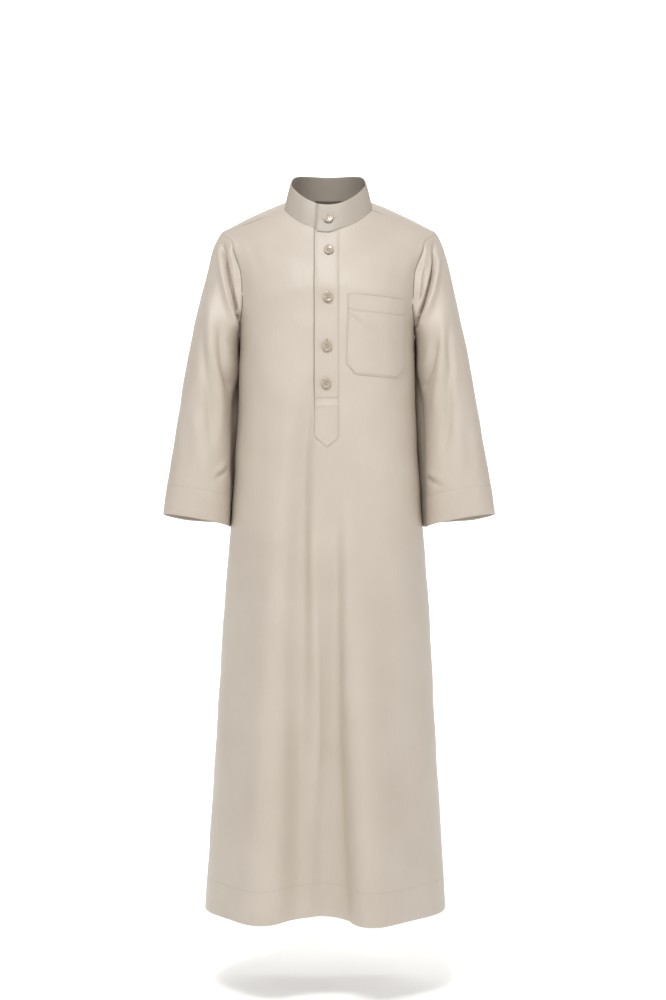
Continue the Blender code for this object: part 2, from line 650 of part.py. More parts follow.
def build_buttons(front, neckline, cutters, collection, material):
    mesh = button_mesh(cutters)
    mesh.shade_smooth()
    mesh.set_sharp_from_angle(angle=math.radians(BUTTON_SHARP_ANGLE))
    rest = PANEL_WALL / 2 + LAY_GAP + PLACKET_WALL + SEAM_GAP
    for spot in PLACKET_BUTTONS:
        place, share, side = front.place_at(spot.x, spot.z)
        normal = front.normal(place, share, side)
        point = front.point(place, share, side) + rest * normal
        place_button(spot.name, mesh, point, normal, collection, material)
    foot = neckline.collar_point(0.0, 0.0)
    top = neckline.collar_point(0.0, 1.0)
    up = (top - foot) / np.linalg.norm(top - foot)
    normal = np.cross(np.array([1.0, 0.0, 0.0]), up)
    middle = foot + (top - foot) * COLLAR_BUTTON_SHARE
    point = middle + (COLLAR_WALL / 2 + SEAM_GAP) * normal
    place_button("button_collar", mesh, point, normal, collection, material)


def build_thobe():
    for found in list(bpy.data.objects):
        bpy.data.objects.remove(found, do_unlink=True)
    collection = bpy.data.collections.new("thobe_robe")
    cutters = bpy.data.collections.new("cutters")
    for made in (collection, cutters):
        bpy.context.scene.collection.children.link(made)
    front = Panel(FRONT_SECTIONS, FRONT_FOLDS, -1)
    back = Panel(BACK_SECTIONS, BACK_FOLDS, 1)
    neckline = Neckline(front, back)
    names = ("front", "back", "left sleeve", "right sleeve", "collar", "placket", "under lap", "pocket")
    cloth = {name: plain_material(name + " cloth", CLOTH_COLOUR, CLOTH_ROUGHNESS) for name in names}
    build_front(front, collection, cloth["front"])
    build_back(back, collection, cloth["back"])
    for hand, side in (("left", 1), ("right", -1)):
        sleeve_cloth = cloth[hand + " sleeve"]
        spread = SLEEVE_SPREAD[hand]
        build_sleeve("sleeve_" + hand, side, spread, front, back, collection, sleeve_cloth)
    build_collar(neckline, collection, cloth["collar"])
    build_placket(front, neckline, collection, cloth["placket"])
    build_under_lap(front, neckline, collection, cloth["under lap"])
    build_pocket(front, collection, cloth["pocket"])
    resin = plain_material("button", BUTTON_COLOUR, BUTTON_ROUGHNESS)
    build_buttons(front, neckline, cutters, collection, resin)
    cutters.hide_render = True


build_thobe()
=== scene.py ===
import math

import bpy
import numpy as np
from mathutils import Matrix, Vector


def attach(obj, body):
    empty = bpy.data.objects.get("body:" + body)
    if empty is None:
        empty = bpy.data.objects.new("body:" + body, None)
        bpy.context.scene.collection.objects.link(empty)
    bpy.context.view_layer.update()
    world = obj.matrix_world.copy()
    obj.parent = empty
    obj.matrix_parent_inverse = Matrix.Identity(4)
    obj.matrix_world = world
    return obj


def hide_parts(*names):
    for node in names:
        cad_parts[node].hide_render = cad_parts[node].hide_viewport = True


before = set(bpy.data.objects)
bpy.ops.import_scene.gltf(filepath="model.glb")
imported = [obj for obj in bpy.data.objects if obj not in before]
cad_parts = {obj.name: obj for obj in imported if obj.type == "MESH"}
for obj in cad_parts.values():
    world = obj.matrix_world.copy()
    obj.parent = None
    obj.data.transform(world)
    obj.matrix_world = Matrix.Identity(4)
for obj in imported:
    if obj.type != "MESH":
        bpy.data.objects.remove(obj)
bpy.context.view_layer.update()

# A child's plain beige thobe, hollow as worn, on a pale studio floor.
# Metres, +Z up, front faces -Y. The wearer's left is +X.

scene = bpy.context.scene

# The body: each row runs from the centre line to the side seam, armhole or shoulder seam.
# Reaches say how far it keeps its direction at each end, heading and rise (degrees) how it
# arrives at its edge, cut the share that is left inside the armhole.
sectionColumns = ("name", "rows", "centreX", "centreY", "centreZ", "edgeX", "edgeY", "edgeZ",
                  "centreReach", "edgeReach", "heading", "rise", "cut")
rowCorners = {"edgeX": ("shoulder point",), "edgeY": ("shoulder point",),
              "edgeZ": ("shoulder point",), "cut": ("armpit", "shoulder point")}
hemDip = {"share": 0.16, "from": 0.75, "to": 1.0}  # the hem hangs lower where a fold stands out

# creases: path of (x, z) as seen from the front, height out of the cloth in mm, how far it
# spreads to either side of the path in mm, and the share of its length over which each end fades

frontPanel = {
    "node": "front_panel",
    "facing": -1,
    "thickness": 0.0008,
    "halfColumns": 84,
    "placketColumns": 13,
    "slitWidth": 0.008,
    "hemDepth": 0.045,
    "coarseRow": 0.0060,
    "fineRow": 0.0036,
    "fineAbove": 0.56,  # length from the hem where the rows get finer
    "softRows": 5,
    "sections": [
        ("hem", 5, -0.0026, -0.165, -0.998, 0.1697, 0.000, -1.000, 0.114, 0.102, 90, 0, 1),
        ("shin", 5, -0.0020, -0.152, -0.795, 0.1572, 0.000, -0.795, 0.105, 0.093, 90, 0, 1),
        ("thigh", 4, -0.0010, -0.137, -0.566, 0.1441, 0.000, -0.566, 0.096, 0.084, 90, 0, 1),
        ("hip", 3, -0.0008, -0.125, -0.424, 0.1330, 0.000, -0.424, 0.090, 0.077, 90, 0, 1),
        ("slit foot", 4, -0.0006, -0.118, -0.290, 0.1253, 0.000, -0.290, 0.086, 0.073, 90, 0, 1),
        ("armpit", 2, 0.0000, -0.112, -0.185, 0.1240, 0.000, -0.185, 0.085, 0.070, 90, 0, 1),
        ("low armhole", 2, 0.0002, -0.1095, -0.168, 0.1256, 0.000, -0.174, 0.086, 0.071, 90, 0, 0.84),
        ("mid armhole", 2, 0.0006, -0.1065, -0.144, 0.1290, -0.001, -0.146, 0.084, 0.070, 88, 1, 0.75),
        ("high armhole", 2, 0.0010, -0.1015, -0.120, 0.1370, -0.003, -0.104, 0.075, 0.061, 79, 3, 0.76),
        ("cap of armhole", 1, 0.0015, -0.0950, -0.100, 0.1560, -0.003, -0.059, 0.062, 0.050, 60, 5, 0.79),
        ("top of armhole", 1, 0.0018, -0.0910, -0.091, 0.1560, -0.003, -0.050, 0.056, 0.047, 50, 5, 0.88),
        ("shoulder point", 3, 0.0020, -0.0870, -0.083, 0.1535, -0.004, -0.048, 0.050, 0.044, 42, 3, 1),
        ("mid shoulder", 2, 0.0018, -0.0760, -0.062, 0.0980, -0.021, -0.0275, 0.040, 0.026, 56, 17, 1),
        ("neck", 0, 0.0016, -0.0680, -0.046, 0.0608, -0.030, -0.0155, 0.034, 0.018, 74, 22, 1),
    ],
    # topX, hemX, topZ, fullZ, height, half width of the great folds of the skirt
    "folds": [
        (-0.062, -0.094, -0.400, -0.960, 0.022, 0.036),
        (-0.037, -0.052, -0.300, -0.560, -0.005, 0.016),
        (0.002, -0.006, -0.430, -0.980, -0.030, 0.032),
        (0.030, 0.068, -0.360, -0.960, 0.026, 0.042),
    ],
    "creases": [
        # skirt: two troughs and the ridges beside them
        ([(-0.0195, -0.249), (-0.030, -0.328), (-0.034, -0.397), (-0.034, -0.480), (-0.033, -0.617),
          (-0.033, -0.782), (-0.036, -0.947), (-0.037, -1.02)], -9.5, 17, 11, 0.10, 0.0),
        ([(-0.055, -0.287), (-0.061, -0.370), (-0.069, -0.470), (-0.076, -0.590), (-0.090, -0.755),
          (-0.106, -0.947), (-0.110, -1.02)], 5.5, 24, 16, 0.30, 0.0),
        ([(-0.022, -0.400), (-0.018, -0.560), (-0.012, -0.700), (-0.013, -0.881)], 4.2, 10, 9, 0.25, 0.30),
        ([(0.014, -0.375), (0.013, -0.470), (0.011, -0.617), (0.0105, -0.745), (0.013, -0.837),
          (0.019, -0.946), (0.022, -1.02)], -9.0, 16, 11, 0.25, 0.0),
        ([(0.029, -0.328), (0.027, -0.470), (0.030, -0.617), (0.038, -0.754), (0.049, -0.919),
          (0.053, -1.02)], 5.0, 12, 20, 0.30, 0.0),
        ([(0.070, -0.430), (0.093, -0.700), (0.107, -0.905)], -2.4, 26, 22, 0.40, 0.20),
        ([(-0.108, -0.470), (-0.125, -0.700), (-0.134, -0.919)], -2.2, 14, 22, 0.40, 0.20),
        # chest: soft drag lines from the armholes
        ([(-0.1090, -0.062), (-0.1020, -0.084), (-0.0920, -0.106)], -1.8, 5, 8, 0.35, 0.45),
        ([(-0.1140, -0.120), (-0.0850, -0.128), (-0.0300, -0.128), (0.0400, -0.126), (0.1140, -0.120)],
         2.4, 13, 13, 0.08, 0.08),
        ([(-0.117, -0.180), (-0.097, -0.165), (-0.070, -0.160)], -1.1, 10, 14, 0.10, 0.60),
        ([(0.103, -0.072), (0.100, -0.105), (0.085, -0.132), (0.064, -0.142)], -1.5, 9, 8, 0.30, 0.45),
        ([(0.117, -0.182), (0.104, -0.262), (0.085, -0.330)], -1.2, 14, 12, 0.20, 0.50),
        ([(-0.118, -0.190), (-0.100, -0.260), (-0.072, -0.330)], -1.4, 14, 12, 0.20, 0.50),
        # waist: slack beside the placket
        ([(0.030, -0.300), (0.040, -0.345), (0.062, -0.372)], -0.9, 10, 10, 0.30, 0.60),
    ],
}

backPanel = {
    "node": "back_panel",
    "facing": 1,
    "thickness": 0.0008,
    "halfColumns": 66,
    "slitWidth": 0.0,
    "hemDepth": 0.045,
    "coarseRow": 0.0060,
    "fineRow": 0.0040,
    "fineAbove": 0.60,
    "softRows": 4,
    "sections": [
        ("hem", 5, -0.0026, 0.152, -0.998, 0.1697, 0.000, -1.000, 0.112, 0.096, 90, 0, 1),
        ("shin", 5, -0.0020, 0.140, -0.795, 0.1572, 0.000, -0.795, 0.104, 0.087, 90, 0, 1),
        ("thigh", 4, -0.0010, 0.128, -0.566, 0.1441, 0.000, -0.566, 0.095, 0.079, 90, 0, 1),
        ("hip", 3, -0.0008, 0.117, -0.424, 0.1330, 0.000, -0.424, 0.088, 0.072, 90, 0, 1),
        ("slit foot", 4, -0.0006, 0.108, -0.290, 0.1253, 0.000, -0.290, 0.083, 0.066, 90, 0, 1),
        ("armpit", 2, 0.0000, 0.106, -0.185, 0.1240, 0.000, -0.185, 0.082, 0.064, 90, 0, 1),
        ("low armhole", 2, 0.0002, 0.1050, -0.165, 0.1262, 0.000, -0.174, 0.082, 0.065, 90, 0, 0.84),
        ("mid armhole", 2, 0.0006, 0.1020, -0.137, 0.1315, 0.000, -0.146, 0.081, 0.064, 88, -1, 0.75),
        ("high armhole", 2, 0.0010, 0.0970, -0.107, 0.1420, -0.001, -0.106, 0.078, 0.060, 80, -5, 0.76),
        ("cap of armhole", 1, 0.0015, 0.0900, -0.079, 0.1590, -0.002, -0.066, 0.070, 0.054, 72, -17, 0.80),
        ("top of armhole", 1, 0.0018, 0.0860, -0.062, 0.1570, -0.003, -0.055, 0.063, 0.058, 68, -28, 0.90),
        ("shoulder point", 3, 0.0020, 0.0820, -0.047, 0.1535, -0.004, -0.048, 0.058, 0.062, 63, -36, 1),
        ("mid shoulder", 2, 0.0018, 0.0680, -0.015, 0.0980, -0.021, -0.0275, 0.052, 0.055, 83, -37, 1),
        ("neck", 0, 0.0016, 0.0560, 0.006, 0.0608, -0.030, -0.0155, 0.042, 0.044, 92, -33, 1),
    ],
    "folds": [
        (-0.052, -0.086, -0.330, -0.960, 0.018, 0.036),
        (0.000, -0.010, -0.420, -0.960, -0.016, 0.034),
        (0.050, 0.078, -0.360, -0.960, 0.020, 0.040),
    ],
    "creases": [
        ([(-0.030, -0.300), (-0.036, -0.450), (-0.045, -0.700), (-0.060, -1.02)], -3.0, 16, 12, 0.35, 0.0),
        ([(0.028, -0.340), (0.034, -0.520), (0.040, -0.760), (0.052, -1.02)], -2.8, 12, 16, 0.35, 0.0),
        ([(0.060, -0.260), (0.068, -0.450), (0.083, -0.700), (0.098, -1.02)], 2.2, 14, 20, 0.35, 0.0),
        ([(-0.062, -0.280), (-0.075, -0.500), (-0.090, -0.760), (-0.104, -1.02)], 2.0, 20, 14, 0.35, 0.0),
        ([(0.004, -0.480), (0.000, -0.700), (-0.006, -0.940)], 1.6, 14, 14, 0.30, 0.25),
        ([(-0.116, -0.175), (-0.085, -0.150), (-0.050, -0.142)], -1.6, 10, 12, 0.10, 0.55),
        ([(0.116, -0.170), (0.088, -0.140), (0.056, -0.128)], -1.7, 10, 12, 0.10, 0.55),
        ([(-0.104, -0.080), (-0.098, -0.115), (-0.086, -0.150)], -1.6, 9, 9, 0.30, 0.45),
        ([(0.106, -0.084), (0.101, -0.120), (0.090, -0.158)], -1.5, 9, 9, 0.30, 0.45),
        ([(0.115, -0.190), (0.100, -0.270), (0.075, -0.340)], -1.5, 14, 12, 0.20, 0.50),
        ([(-0.116, -0.190), (-0.098, -0.262), (-0.070, -0.322)], -1.3, 14, 12, 0.20, 0.50),
        ([(-0.028, -0.030), (0.000, -0.038), (0.030, -0.031)], -0.9, 8, 10, 0.40, 0.40),
    ],
}

# Sleeves: rings from the armhole to the cuff, with the outer and inner line seen from the front
ringColumns = ("name", "rows", "outerX", "outerZ", "innerX", "innerZ", "halfDepth", "middleY", "tilt")
sleeveShape = {
    "rings": [
        ("armhole", 1, 0.1550, -0.0480, 0.1262, -0.1850, 0.060, -0.001, 0.0),
        ("cap", 2, 0.1635, -0.0675, 0.1264, -0.1900, 0.060, -0.001, 0.0),
        ("roll", 2, 0.1762, -0.1190, 0.1266, -0.2060, 0.057, -0.002, 0.5),
        ("upper arm", 2, 0.1922, -0.1900, 0.1270, -0.2400, 0.053, -0.006, 1.5),
        ("elbow", 2, 0.2062, -0.2700, 0.1352, -0.2920, 0.048, -0.013, 3.0),
        ("forearm", 2, 0.2190, -0.3510, 0.1372, -0.3660, 0.042, -0.023, 5.0),
        ("cuff seam", 1, 0.2275, -0.4050, 0.1380, -0.4210, 0.038, -0.029, 6.0),
        ("cuff", 0, 0.2335, -0.4440, 0.1392, -0.4610, 0.034, -0.033, 6.0),
    ],
    "capFade": 0.45,
    "bodyClearance": 0.0012,
    "columns": 180,
    "frontInnerWeight": 2.4,  # columns are this much closer together on the creased side
    "capRows": 0.0016,  # between rows as far as this much below the armhole's seam, then rowLength
    "capDepth": 0.078,
    "rowLength": 0.0034,
    "squareFrom": -0.245,  # below this the front's inner edge turns sharply towards the body
    "squareTo": -0.285,
    "squareness": 0.16,
    # turns round a ring in half circles: 0 is its outer line, 0.5 the front, 1 the inner line, 1.5 behind
    "creasedTurns": (0.42, 1.02),
    "hugTurns": (1.00, 1.15, 1.40, 1.64),  # behind, the sleeve lies against the side of the body
    "hugTop": -0.186,
    "hugReach": 0.016,
    "tuckTurns": (0.98, 1.20, 1.34, 1.60),  # and is pushed back this far beside it
    "tuckBehind": 0.016,
    "tuckTop": -0.270,
    "tuckReach": 0.08,
    "cuffDepth": 0.040,
    "thickness": 0.0008,
}
leftSleeve = {
    "node": "sleeve_left",
    "side": 1,
    "spread": 0.0030,
    "frontCreases": [
        # the sharp fold from the shoulder into the armpit, with the roll inside it and its bright edge
        ([(0.1500, -0.058), (0.1508, -0.092), (0.1438, -0.1236), (0.1354, -0.1488), (0.1266, -0.1712),
          (0.1235, -0.185)], -13.0, 2.3, 1.8, 0.20, 0.05),
        ([(0.1400, -0.066), (0.1345, -0.100), (0.1290, -0.130), (0.1255, -0.150)],
         2.6, 4.5, 3.6, 0.25, 0.25),
        ([(0.1368, -0.0956), (0.1340, -0.1236), (0.1300, -0.150)], -4.0, 1.9, 1.9, 0.25, 0.25),
        ([(0.1545, -0.074), (0.1550, -0.096), (0.1500, -0.124), (0.1420, -0.150), (0.1320, -0.172)],
         3.6, 2.4, 4.6, 0.16, 0.12),
        ([(0.1605, -0.100), (0.1590, -0.130), (0.1500, -0.160), (0.1400, -0.190)], -2.0, 5, 8, 0.30, 0.35),
        # long folds down to the cuff
        ([(0.1640, -0.150), (0.1606, -0.2076), (0.1578, -0.2426), (0.1522, -0.2846), (0.1480, -0.330)],
         3.8, 6, 7, 0.30, 0.35),
        ([(0.1700, -0.170), (0.1700, -0.200), (0.1732, -0.235), (0.1704, -0.264), (0.1690, -0.320),
          (0.1590, -0.372)], -4.2, 6, 6, 0.25, 0.25),
        ([(0.1550, -0.195), (0.1536, -0.2076), (0.1494, -0.2286), (0.1410, -0.258), (0.1350, -0.270)],
         -3.8, 5.0, 3.0, 0.25, 0.12),
        ([(0.1440, -0.200), (0.1400, -0.225), (0.1350, -0.247)], 1.8, 6, 6, 0.30, 0.30),
        ([(0.1830, -0.290), (0.1816, -0.3406), (0.1816, -0.3966)], 2.6, 11, 11, 0.35, 0.25),
        ([(0.1965, -0.300), (0.1990, -0.350), (0.2050, -0.400)], -1.5, 8, 8, 0.35, 0.35),
        ([(0.1910, -0.180), (0.1880, -0.235), (0.1900, -0.290)], -1.8, 8, 9, 0.30, 0.35),
        ([(0.1390, -0.3920), (0.1480, -0.4000), (0.1590, -0.4035), (0.1660, -0.4015)],
         -2.8, 2.6, 3.0, 0.20, 0.45),
        ([(0.1400, -0.3835), (0.1490, -0.3910), (0.1620, -0.3935)], 1.6, 3.0, 3.2, 0.30, 0.45),
    ],
    "backCreases": [
        ([(0.1500, -0.064), (0.1440, -0.100), (0.1350, -0.136), (0.1270, -0.172)],
         -3.8, 3.8, 2.8, 0.20, 0.12),
        ([(0.1560, -0.072), (0.1510, -0.112), (0.1420, -0.146), (0.1300, -0.182)], 3.0, 3.6, 5.5, 0.22, 0.15),
        ([(0.1740, -0.165), (0.1600, -0.222), (0.1450, -0.270)], 3.2, 8, 9, 0.30, 0.35),
        ([(0.1600, -0.215), (0.1700, -0.262), (0.1900, -0.290)], -2.8, 6, 7, 0.30, 0.40),
        ([(0.1480, -0.250), (0.1620, -0.300), (0.1800, -0.328)], -2.4, 6, 7, 0.30, 0.40),
        ([(0.1700, -0.320), (0.1720, -0.380), (0.1760, -0.430)], 2.2, 9, 9, 0.35, 0.20),
    ],
}
rightSleeve = {
    "node": "sleeve_right",
    "side": -1,
    "spread": -0.0025,
    "frontCreases": [
        ([(0.1475, -0.058), (0.1460, -0.0746), (0.1404, -0.1026), (0.1334, -0.1306), (0.1262, -0.1600),
          (0.1225, -0.1838)], -13.5, 2.3, 1.8, 0.20, 0.05),
        ([(0.1375, -0.066), (0.1315, -0.098), (0.1270, -0.128)], 2.6, 4.5, 3.6, 0.25, 0.25),
        ([(0.1530, -0.060), (0.1516, -0.0746), (0.1470, -0.1054), (0.1400, -0.1376), (0.1300, -0.170),
          (0.1255, -0.188)], 3.8, 2.3, 4.6, 0.14, 0.10),
        ([(0.1600, -0.080), (0.1560, -0.110), (0.1470, -0.150), (0.1370, -0.190)], -2.0, 5, 8, 0.30, 0.35),
        ([(0.1670, -0.120), (0.1656, -0.1446), (0.1628, -0.2076), (0.1516, -0.2636), (0.1488, -0.3196),
          (0.1500, -0.350)], 4.0, 7, 6.5, 0.25, 0.25),
        ([(0.1760, -0.165), (0.1754, -0.1936), (0.1726, -0.2356), (0.1670, -0.2706), (0.1628, -0.3266),
          (0.1640, -0.360)], -3.8, 6, 6, 0.28, 0.28),
        ([(0.1520, -0.165), (0.1500, -0.205), (0.1470, -0.240), (0.1400, -0.264), (0.1340, -0.271)],
         -3.4, 6, 4.5, 0.30, 0.12),
        ([(0.1400, -0.200), (0.1370, -0.230), (0.1330, -0.250)], 1.8, 6, 6, 0.30, 0.30),
        ([(0.1870, -0.290), (0.1838, -0.3126), (0.1712, -0.3756), (0.1700, -0.400)],
         3.0, 11, 11, 0.35, 0.25),
        ([(0.1990, -0.290), (0.1970, -0.350), (0.2010, -0.400)], -1.6, 8, 8, 0.35, 0.35),
        ([(0.1850, -0.160), (0.1870, -0.225), (0.1950, -0.280)], -1.6, 9, 9, 0.35, 0.40),
        ([(0.1395, -0.3800), (0.1490, -0.3900), (0.1600, -0.3945)], -2.8, 3.0, 2.6, 0.20, 0.40),
        ([(0.1400, -0.3715), (0.1500, -0.3815), (0.1620, -0.3850)], 1.6, 3.2, 3.0, 0.30, 0.45),
    ],
    "backCreases": [
        ([(0.1490, -0.066), (0.1420, -0.104), (0.1330, -0.140), (0.1265, -0.176)],
         -3.8, 3.8, 2.8, 0.20, 0.12),
        ([(0.1550, -0.074), (0.1490, -0.116), (0.1390, -0.152), (0.1290, -0.186)], 3.0, 3.6, 5.5, 0.22, 0.15),
        ([(0.1700, -0.175), (0.1570, -0.230), (0.1440, -0.282)], 3.0, 8, 9, 0.30, 0.35),
        ([(0.1560, -0.205), (0.1690, -0.246), (0.1880, -0.268)], -2.9, 6, 7, 0.30, 0.40),
        ([(0.1500, -0.268), (0.1640, -0.314), (0.1850, -0.342)], -2.3, 6, 7, 0.30, 0.40),
        ([(0.1650, -0.330), (0.1700, -0.385), (0.1760, -0.430)], 2.2, 9, 9, 0.35, 0.20),
    ],
}

seam = {"tuck": 0.0010, "tuckWidth": 0.0013, "offset": 0.0003}
stitchGroove = {"depth": 0.00030, "width": 0.0011}
stitchRows = np.array([-0.0022, -0.0011, 0.0, 0.0011, 0.0022, 0.0045])  # mesh rows beside the stitches
edgeColumns = np.array([0.0040, 0.0024, 0.0014, 0.0007, 0.0])  # the last columns' distance from the edge
hemFold = {
    "gap": 0.0012,
    "extra": 0.003,  # how far the turned cloth goes up past its stitches
    "puckerHeight": 0.00022,
    "puckerLength": 0.0115,
    "puckerBeat": 0.047,
    "puckerReach": 0.0075,
}
slowWaves = ((0.110, 0.00045), (0.062, 0.00028), (0.034, 0.00013))  # length and height of each
shoulderSoftening = {"fromEdge": (0.004, 0.020), "fromMiddle": (0.020, 0.036), "beforeNeck": 0.6}
shoulderStitch = {"inset": 0.0030, "afterPoint": 0.15, "beforeNeck": 0.10, "samples": 60}

collarBand = {
    "node": "collar",
    "heightFront": 0.0345,
    "heightBack": 0.0330,
    "lean": 0.26,
    "lap": 0.0168,
    "lapFade": 0.0300,
    "thickness": 0.0018,
    "columns": 200,
    "rows": 16,
    "foot": -0.0014,  # the band's lower edge against the neck seam
    "tabDrop": 0.0036,
    "tabEnd": 0.0200,
    "tabStand": 0.0032,
    "tabFade": 0.45,
    "lapRoom": 0.0014,  # each end moves this far from the middle where the two pass
    "bulge": 0.0006,
    "softEdge": 0.0007,
}
placketLap = {
    "node": "placket",
    "width": 0.0340,
    "shoulderZ": -0.3370,
    "pointDrop": 0.0150,
    "thickness": 0.0009,
    "room": 0.0002,
    "edgeLift": 0.0012,
    "edgeSpread": 0.0030,
    "sewnShare": 0.35,  # what is left of the lift below the upper tuck, where the edge is sewn
    "edgeGroove": 0.0017,  # how far the right front dips as it goes under the free edge
    "grooveSpread": (0.0011, 0.0030),
    "tuckZ": (-0.2846, -0.2942),
    "tuckHeights": (-0.0008, 0.0009),
    "tuckSpread": 0.0011,
    "seamDip": 0.0006,
    "seamSpread": 0.0026,
    "stitchInset": 0.0016,
    "stitchDip": 0.00045,
    "stitchSpread": 0.0010,
    "underCollar": 0.014,
    "underCollarLift": 0.0002,
    "slack": 0.0005,  # between the buttons the free edge stands off a little
    "slackTop": -0.0785,
    "slackLength": 0.0660,
    "slackSpread": 0.012,
    "softEdge": 0.00045,
}
underLap = {
    "node": "placket_under",
    "width": 0.0270,
    "footZ": -0.3050,
    "thickness": 0.0012,
    "room": 0.0003,
    "softEdge": 0.0004,
}
chestPocket = {
    "node": "pocket",
    "topInner": (0.0286, -0.1402),
    "topOuter": (0.1088, -0.1462),
    "footInner": (0.0256, -0.2506),
    "footOuter": (0.1080, -0.2560),
    "cutWidth": 0.0120,
    "cutHeight": 0.0140,
    "hemDepth": 0.0225,
    "hemDip": 0.0005,
    "hemSpread": 0.0010,
    "hemRise": 0.0004,
    "stitchInset": 0.0017,
    "stitchDip": 0.00035,
    "stitchSpread": 0.0009,
    "thickness": 0.0010,
    "room": 0.0002,
    "bow": 0.0012,
    "bowFrom": 0.002,
    "bowFull": 0.030,
    "softEdge": 0.0004,
    "creases": [
        ([(0.0290, -0.1690), (0.0420, -0.1790), (0.0560, -0.1925), (0.0790, -0.2190)],
         -1.5, 5.5, 5.0, 0.10, 0.55),
        ([(0.0330, -0.1655), (0.0520, -0.1770), (0.0700, -0.1960)], 0.9, 4.0, 4.0, 0.25, 0.50),
        ([(0.0340, -0.1830), (0.0400, -0.2050), (0.0500, -0.2280)], 0.5, 5.0, 5.0, 0.30, 0.50),
    ],
}
buttonShape = {
    "radius": 0.0070,
    "thickness": 0.0028,
    "rim": 0.0016,
    "dish": 0.0009,
    "holeRadius": 0.00078,
    "holeSpread": 0.00145,
    "sides": 72,
    "holeSides": 20,
    "standOff": 0.0006,
    "lean": 0.03,
    "spin": 0.15,
    "collarShare": 0.50,
    "places": {
        "button_1": (0.0022, -0.0785),
        "button_2": (0.0010, -0.1446),
        "button_3": (-0.0003, -0.2128),
        "button_4": (-0.0015, -0.2639),
    },
}
thread = {"length": 0.0024, "gap": 0.0007, "width": 0.00042, "height": 0.00030, "sides": 6}
buttonThread = {
    "strandOffset": 0.00022,
    "radius": 0.00024,
    "rise": 0.00042,
    "sink": 0.0013,
    "sinkFrom": 0.72,
    "shankSpread": 0.0011,
    "shankRadius": 0.00035,
    "sides": 8,
}
buttonholeShape = {
    "length": 0.0175,
    "points": 96,
    "slit": 0.0010,
    "lift": 0.0001,
    "collarShift": 0.0030,
    "placketShift": 0.0010,
    "loose": 0.72,  # every other stitch lies this much lower
    "profile": ((0.00025, -0.0001, False), (0.0006, 0.00030, True),
                (0.0011, 0.00034, True), (0.0015, -0.0001, False)),  # reach, height, stitched
}


# Curves and surfaces

def smoothCurve(knots, values):  # passes through the values and never overshoots them
    knots, values = np.asarray(knots, float), np.asarray(values, float)
    steps = np.diff(knots)
    slopes = np.diff(values) / steps
    before, after = slopes[:-1], slopes[1:]
    same = before * after > 0
    inner = np.where(same, 2 * before * after / np.where(same, before + after, 1.0), 0.0)
    tangents = np.concatenate([slopes[:1], inner, slopes[-1:]])

    def value(at):
        at = np.asarray(at, float)
        i = np.clip(np.searchsorted(knots, at, side="right") - 1, 0, len(steps) - 1)
        t = (at - knots[i]) / steps[i]
        rise = values[i + 1] - values[i]
        bend = (1 - t) * (tangents[i] * steps[i] - rise) + t * (rise - tangents[i + 1] * steps[i])
        return values[i] + t * rise + t * (1 - t) * bend

    return value


def corneredCurve(knots, values, corners):  # smooth between corners, sharp at each of them
    ends = [0, *corners, len(knots) - 1]
    stretches = [smoothCurve(knots[a:b + 1], values[a:b + 1]) for a, b in zip(ends, ends[1:])]

    def value(at):
        at = np.asarray(at, float)
        found = stretches[0](at)
        for corner, stretch in zip(corners, stretches[1:]):
            found = np.where(at > knots[corner], stretch(at), found)
        return found

    return value


def ramp(value, start, end):
    share = np.clip((value - start) / (end - start), 0.0, 1.0)
    return share * share * (3 - 2 * share)


def between(value, rise, full, fall, end):  # 1 from full to fall, and 0 outside rise and end
    return ramp(value, rise, full) * (1 - ramp(value, fall, end))


def dip(distance, spread):  # a soft line, 1 in its middle
    return np.exp(-((distance / spread) ** 2))


def readTable(table, columns, corners):
    knots = np.cumsum([0] + [row[1] for row in table[:-1]]).astype(float)
    names = [row[0] for row in table]
    curves = {}
    for k, column in enumerate(columns[2:], 2):
        turns = [i for i, name in enumerate(names) if name in corners.get(column, ())]
        curves[column] = corneredCurve(knots, [row[k] for row in table], turns)
    return knots, names, curves


def preparePanel(panel):
    knots, names, curves = readTable(panel["sections"], sectionColumns, rowCorners)
    panel["curves"] = curves
    panel["place"] = dict(zip(names, knots))
    panel["lastPlace"] = knots[-1]


def rowControls(panel, place):
    at = {name: curve(place) for name, curve in panel["curves"].items()}
    heading, rise = np.radians(at["heading"]), np.radians(at["rise"])
    zero = np.zeros_like(at["centreY"])
    centre = np.stack([zero, at["centreY"], at["centreZ"]], -1)
    edge = np.stack([at["edgeX"], at["edgeY"], at["edgeZ"]], -1)
    along = np.stack([np.cos(heading) * np.cos(rise),
                      -panel["facing"] * np.sin(heading) * np.cos(rise), np.sin(rise)], -1)
    start = centre + np.stack([at["centreReach"], zero, zero], -1)
    end = edge - at["edgeReach"][..., None] * along
    level = [centre, start, end, edge]
    kept = [centre]
    share = at["cut"][..., None]
    while len(level) > 1:  # halving lines at the share gives the control points of the cut curve
        level = [a + (b - a) * share for a, b in zip(level, level[1:])]
        kept.append(level[0])
    return kept, at["centreX"]


def foldHeight(panel, x, z):
    height = np.zeros_like(x)
    for topX, hemX, topZ, fullZ, depth, halfWidth in panel["folds"]:
        down = np.clip((topZ - z) / (topZ + 1.0), 0.0, 1.0)
        middle = topX + (hemX - topX) * down
        height += depth * ramp(-z, -topZ, -fullZ) * np.exp(-(((x - middle) / halfWidth) ** 2))
    return height


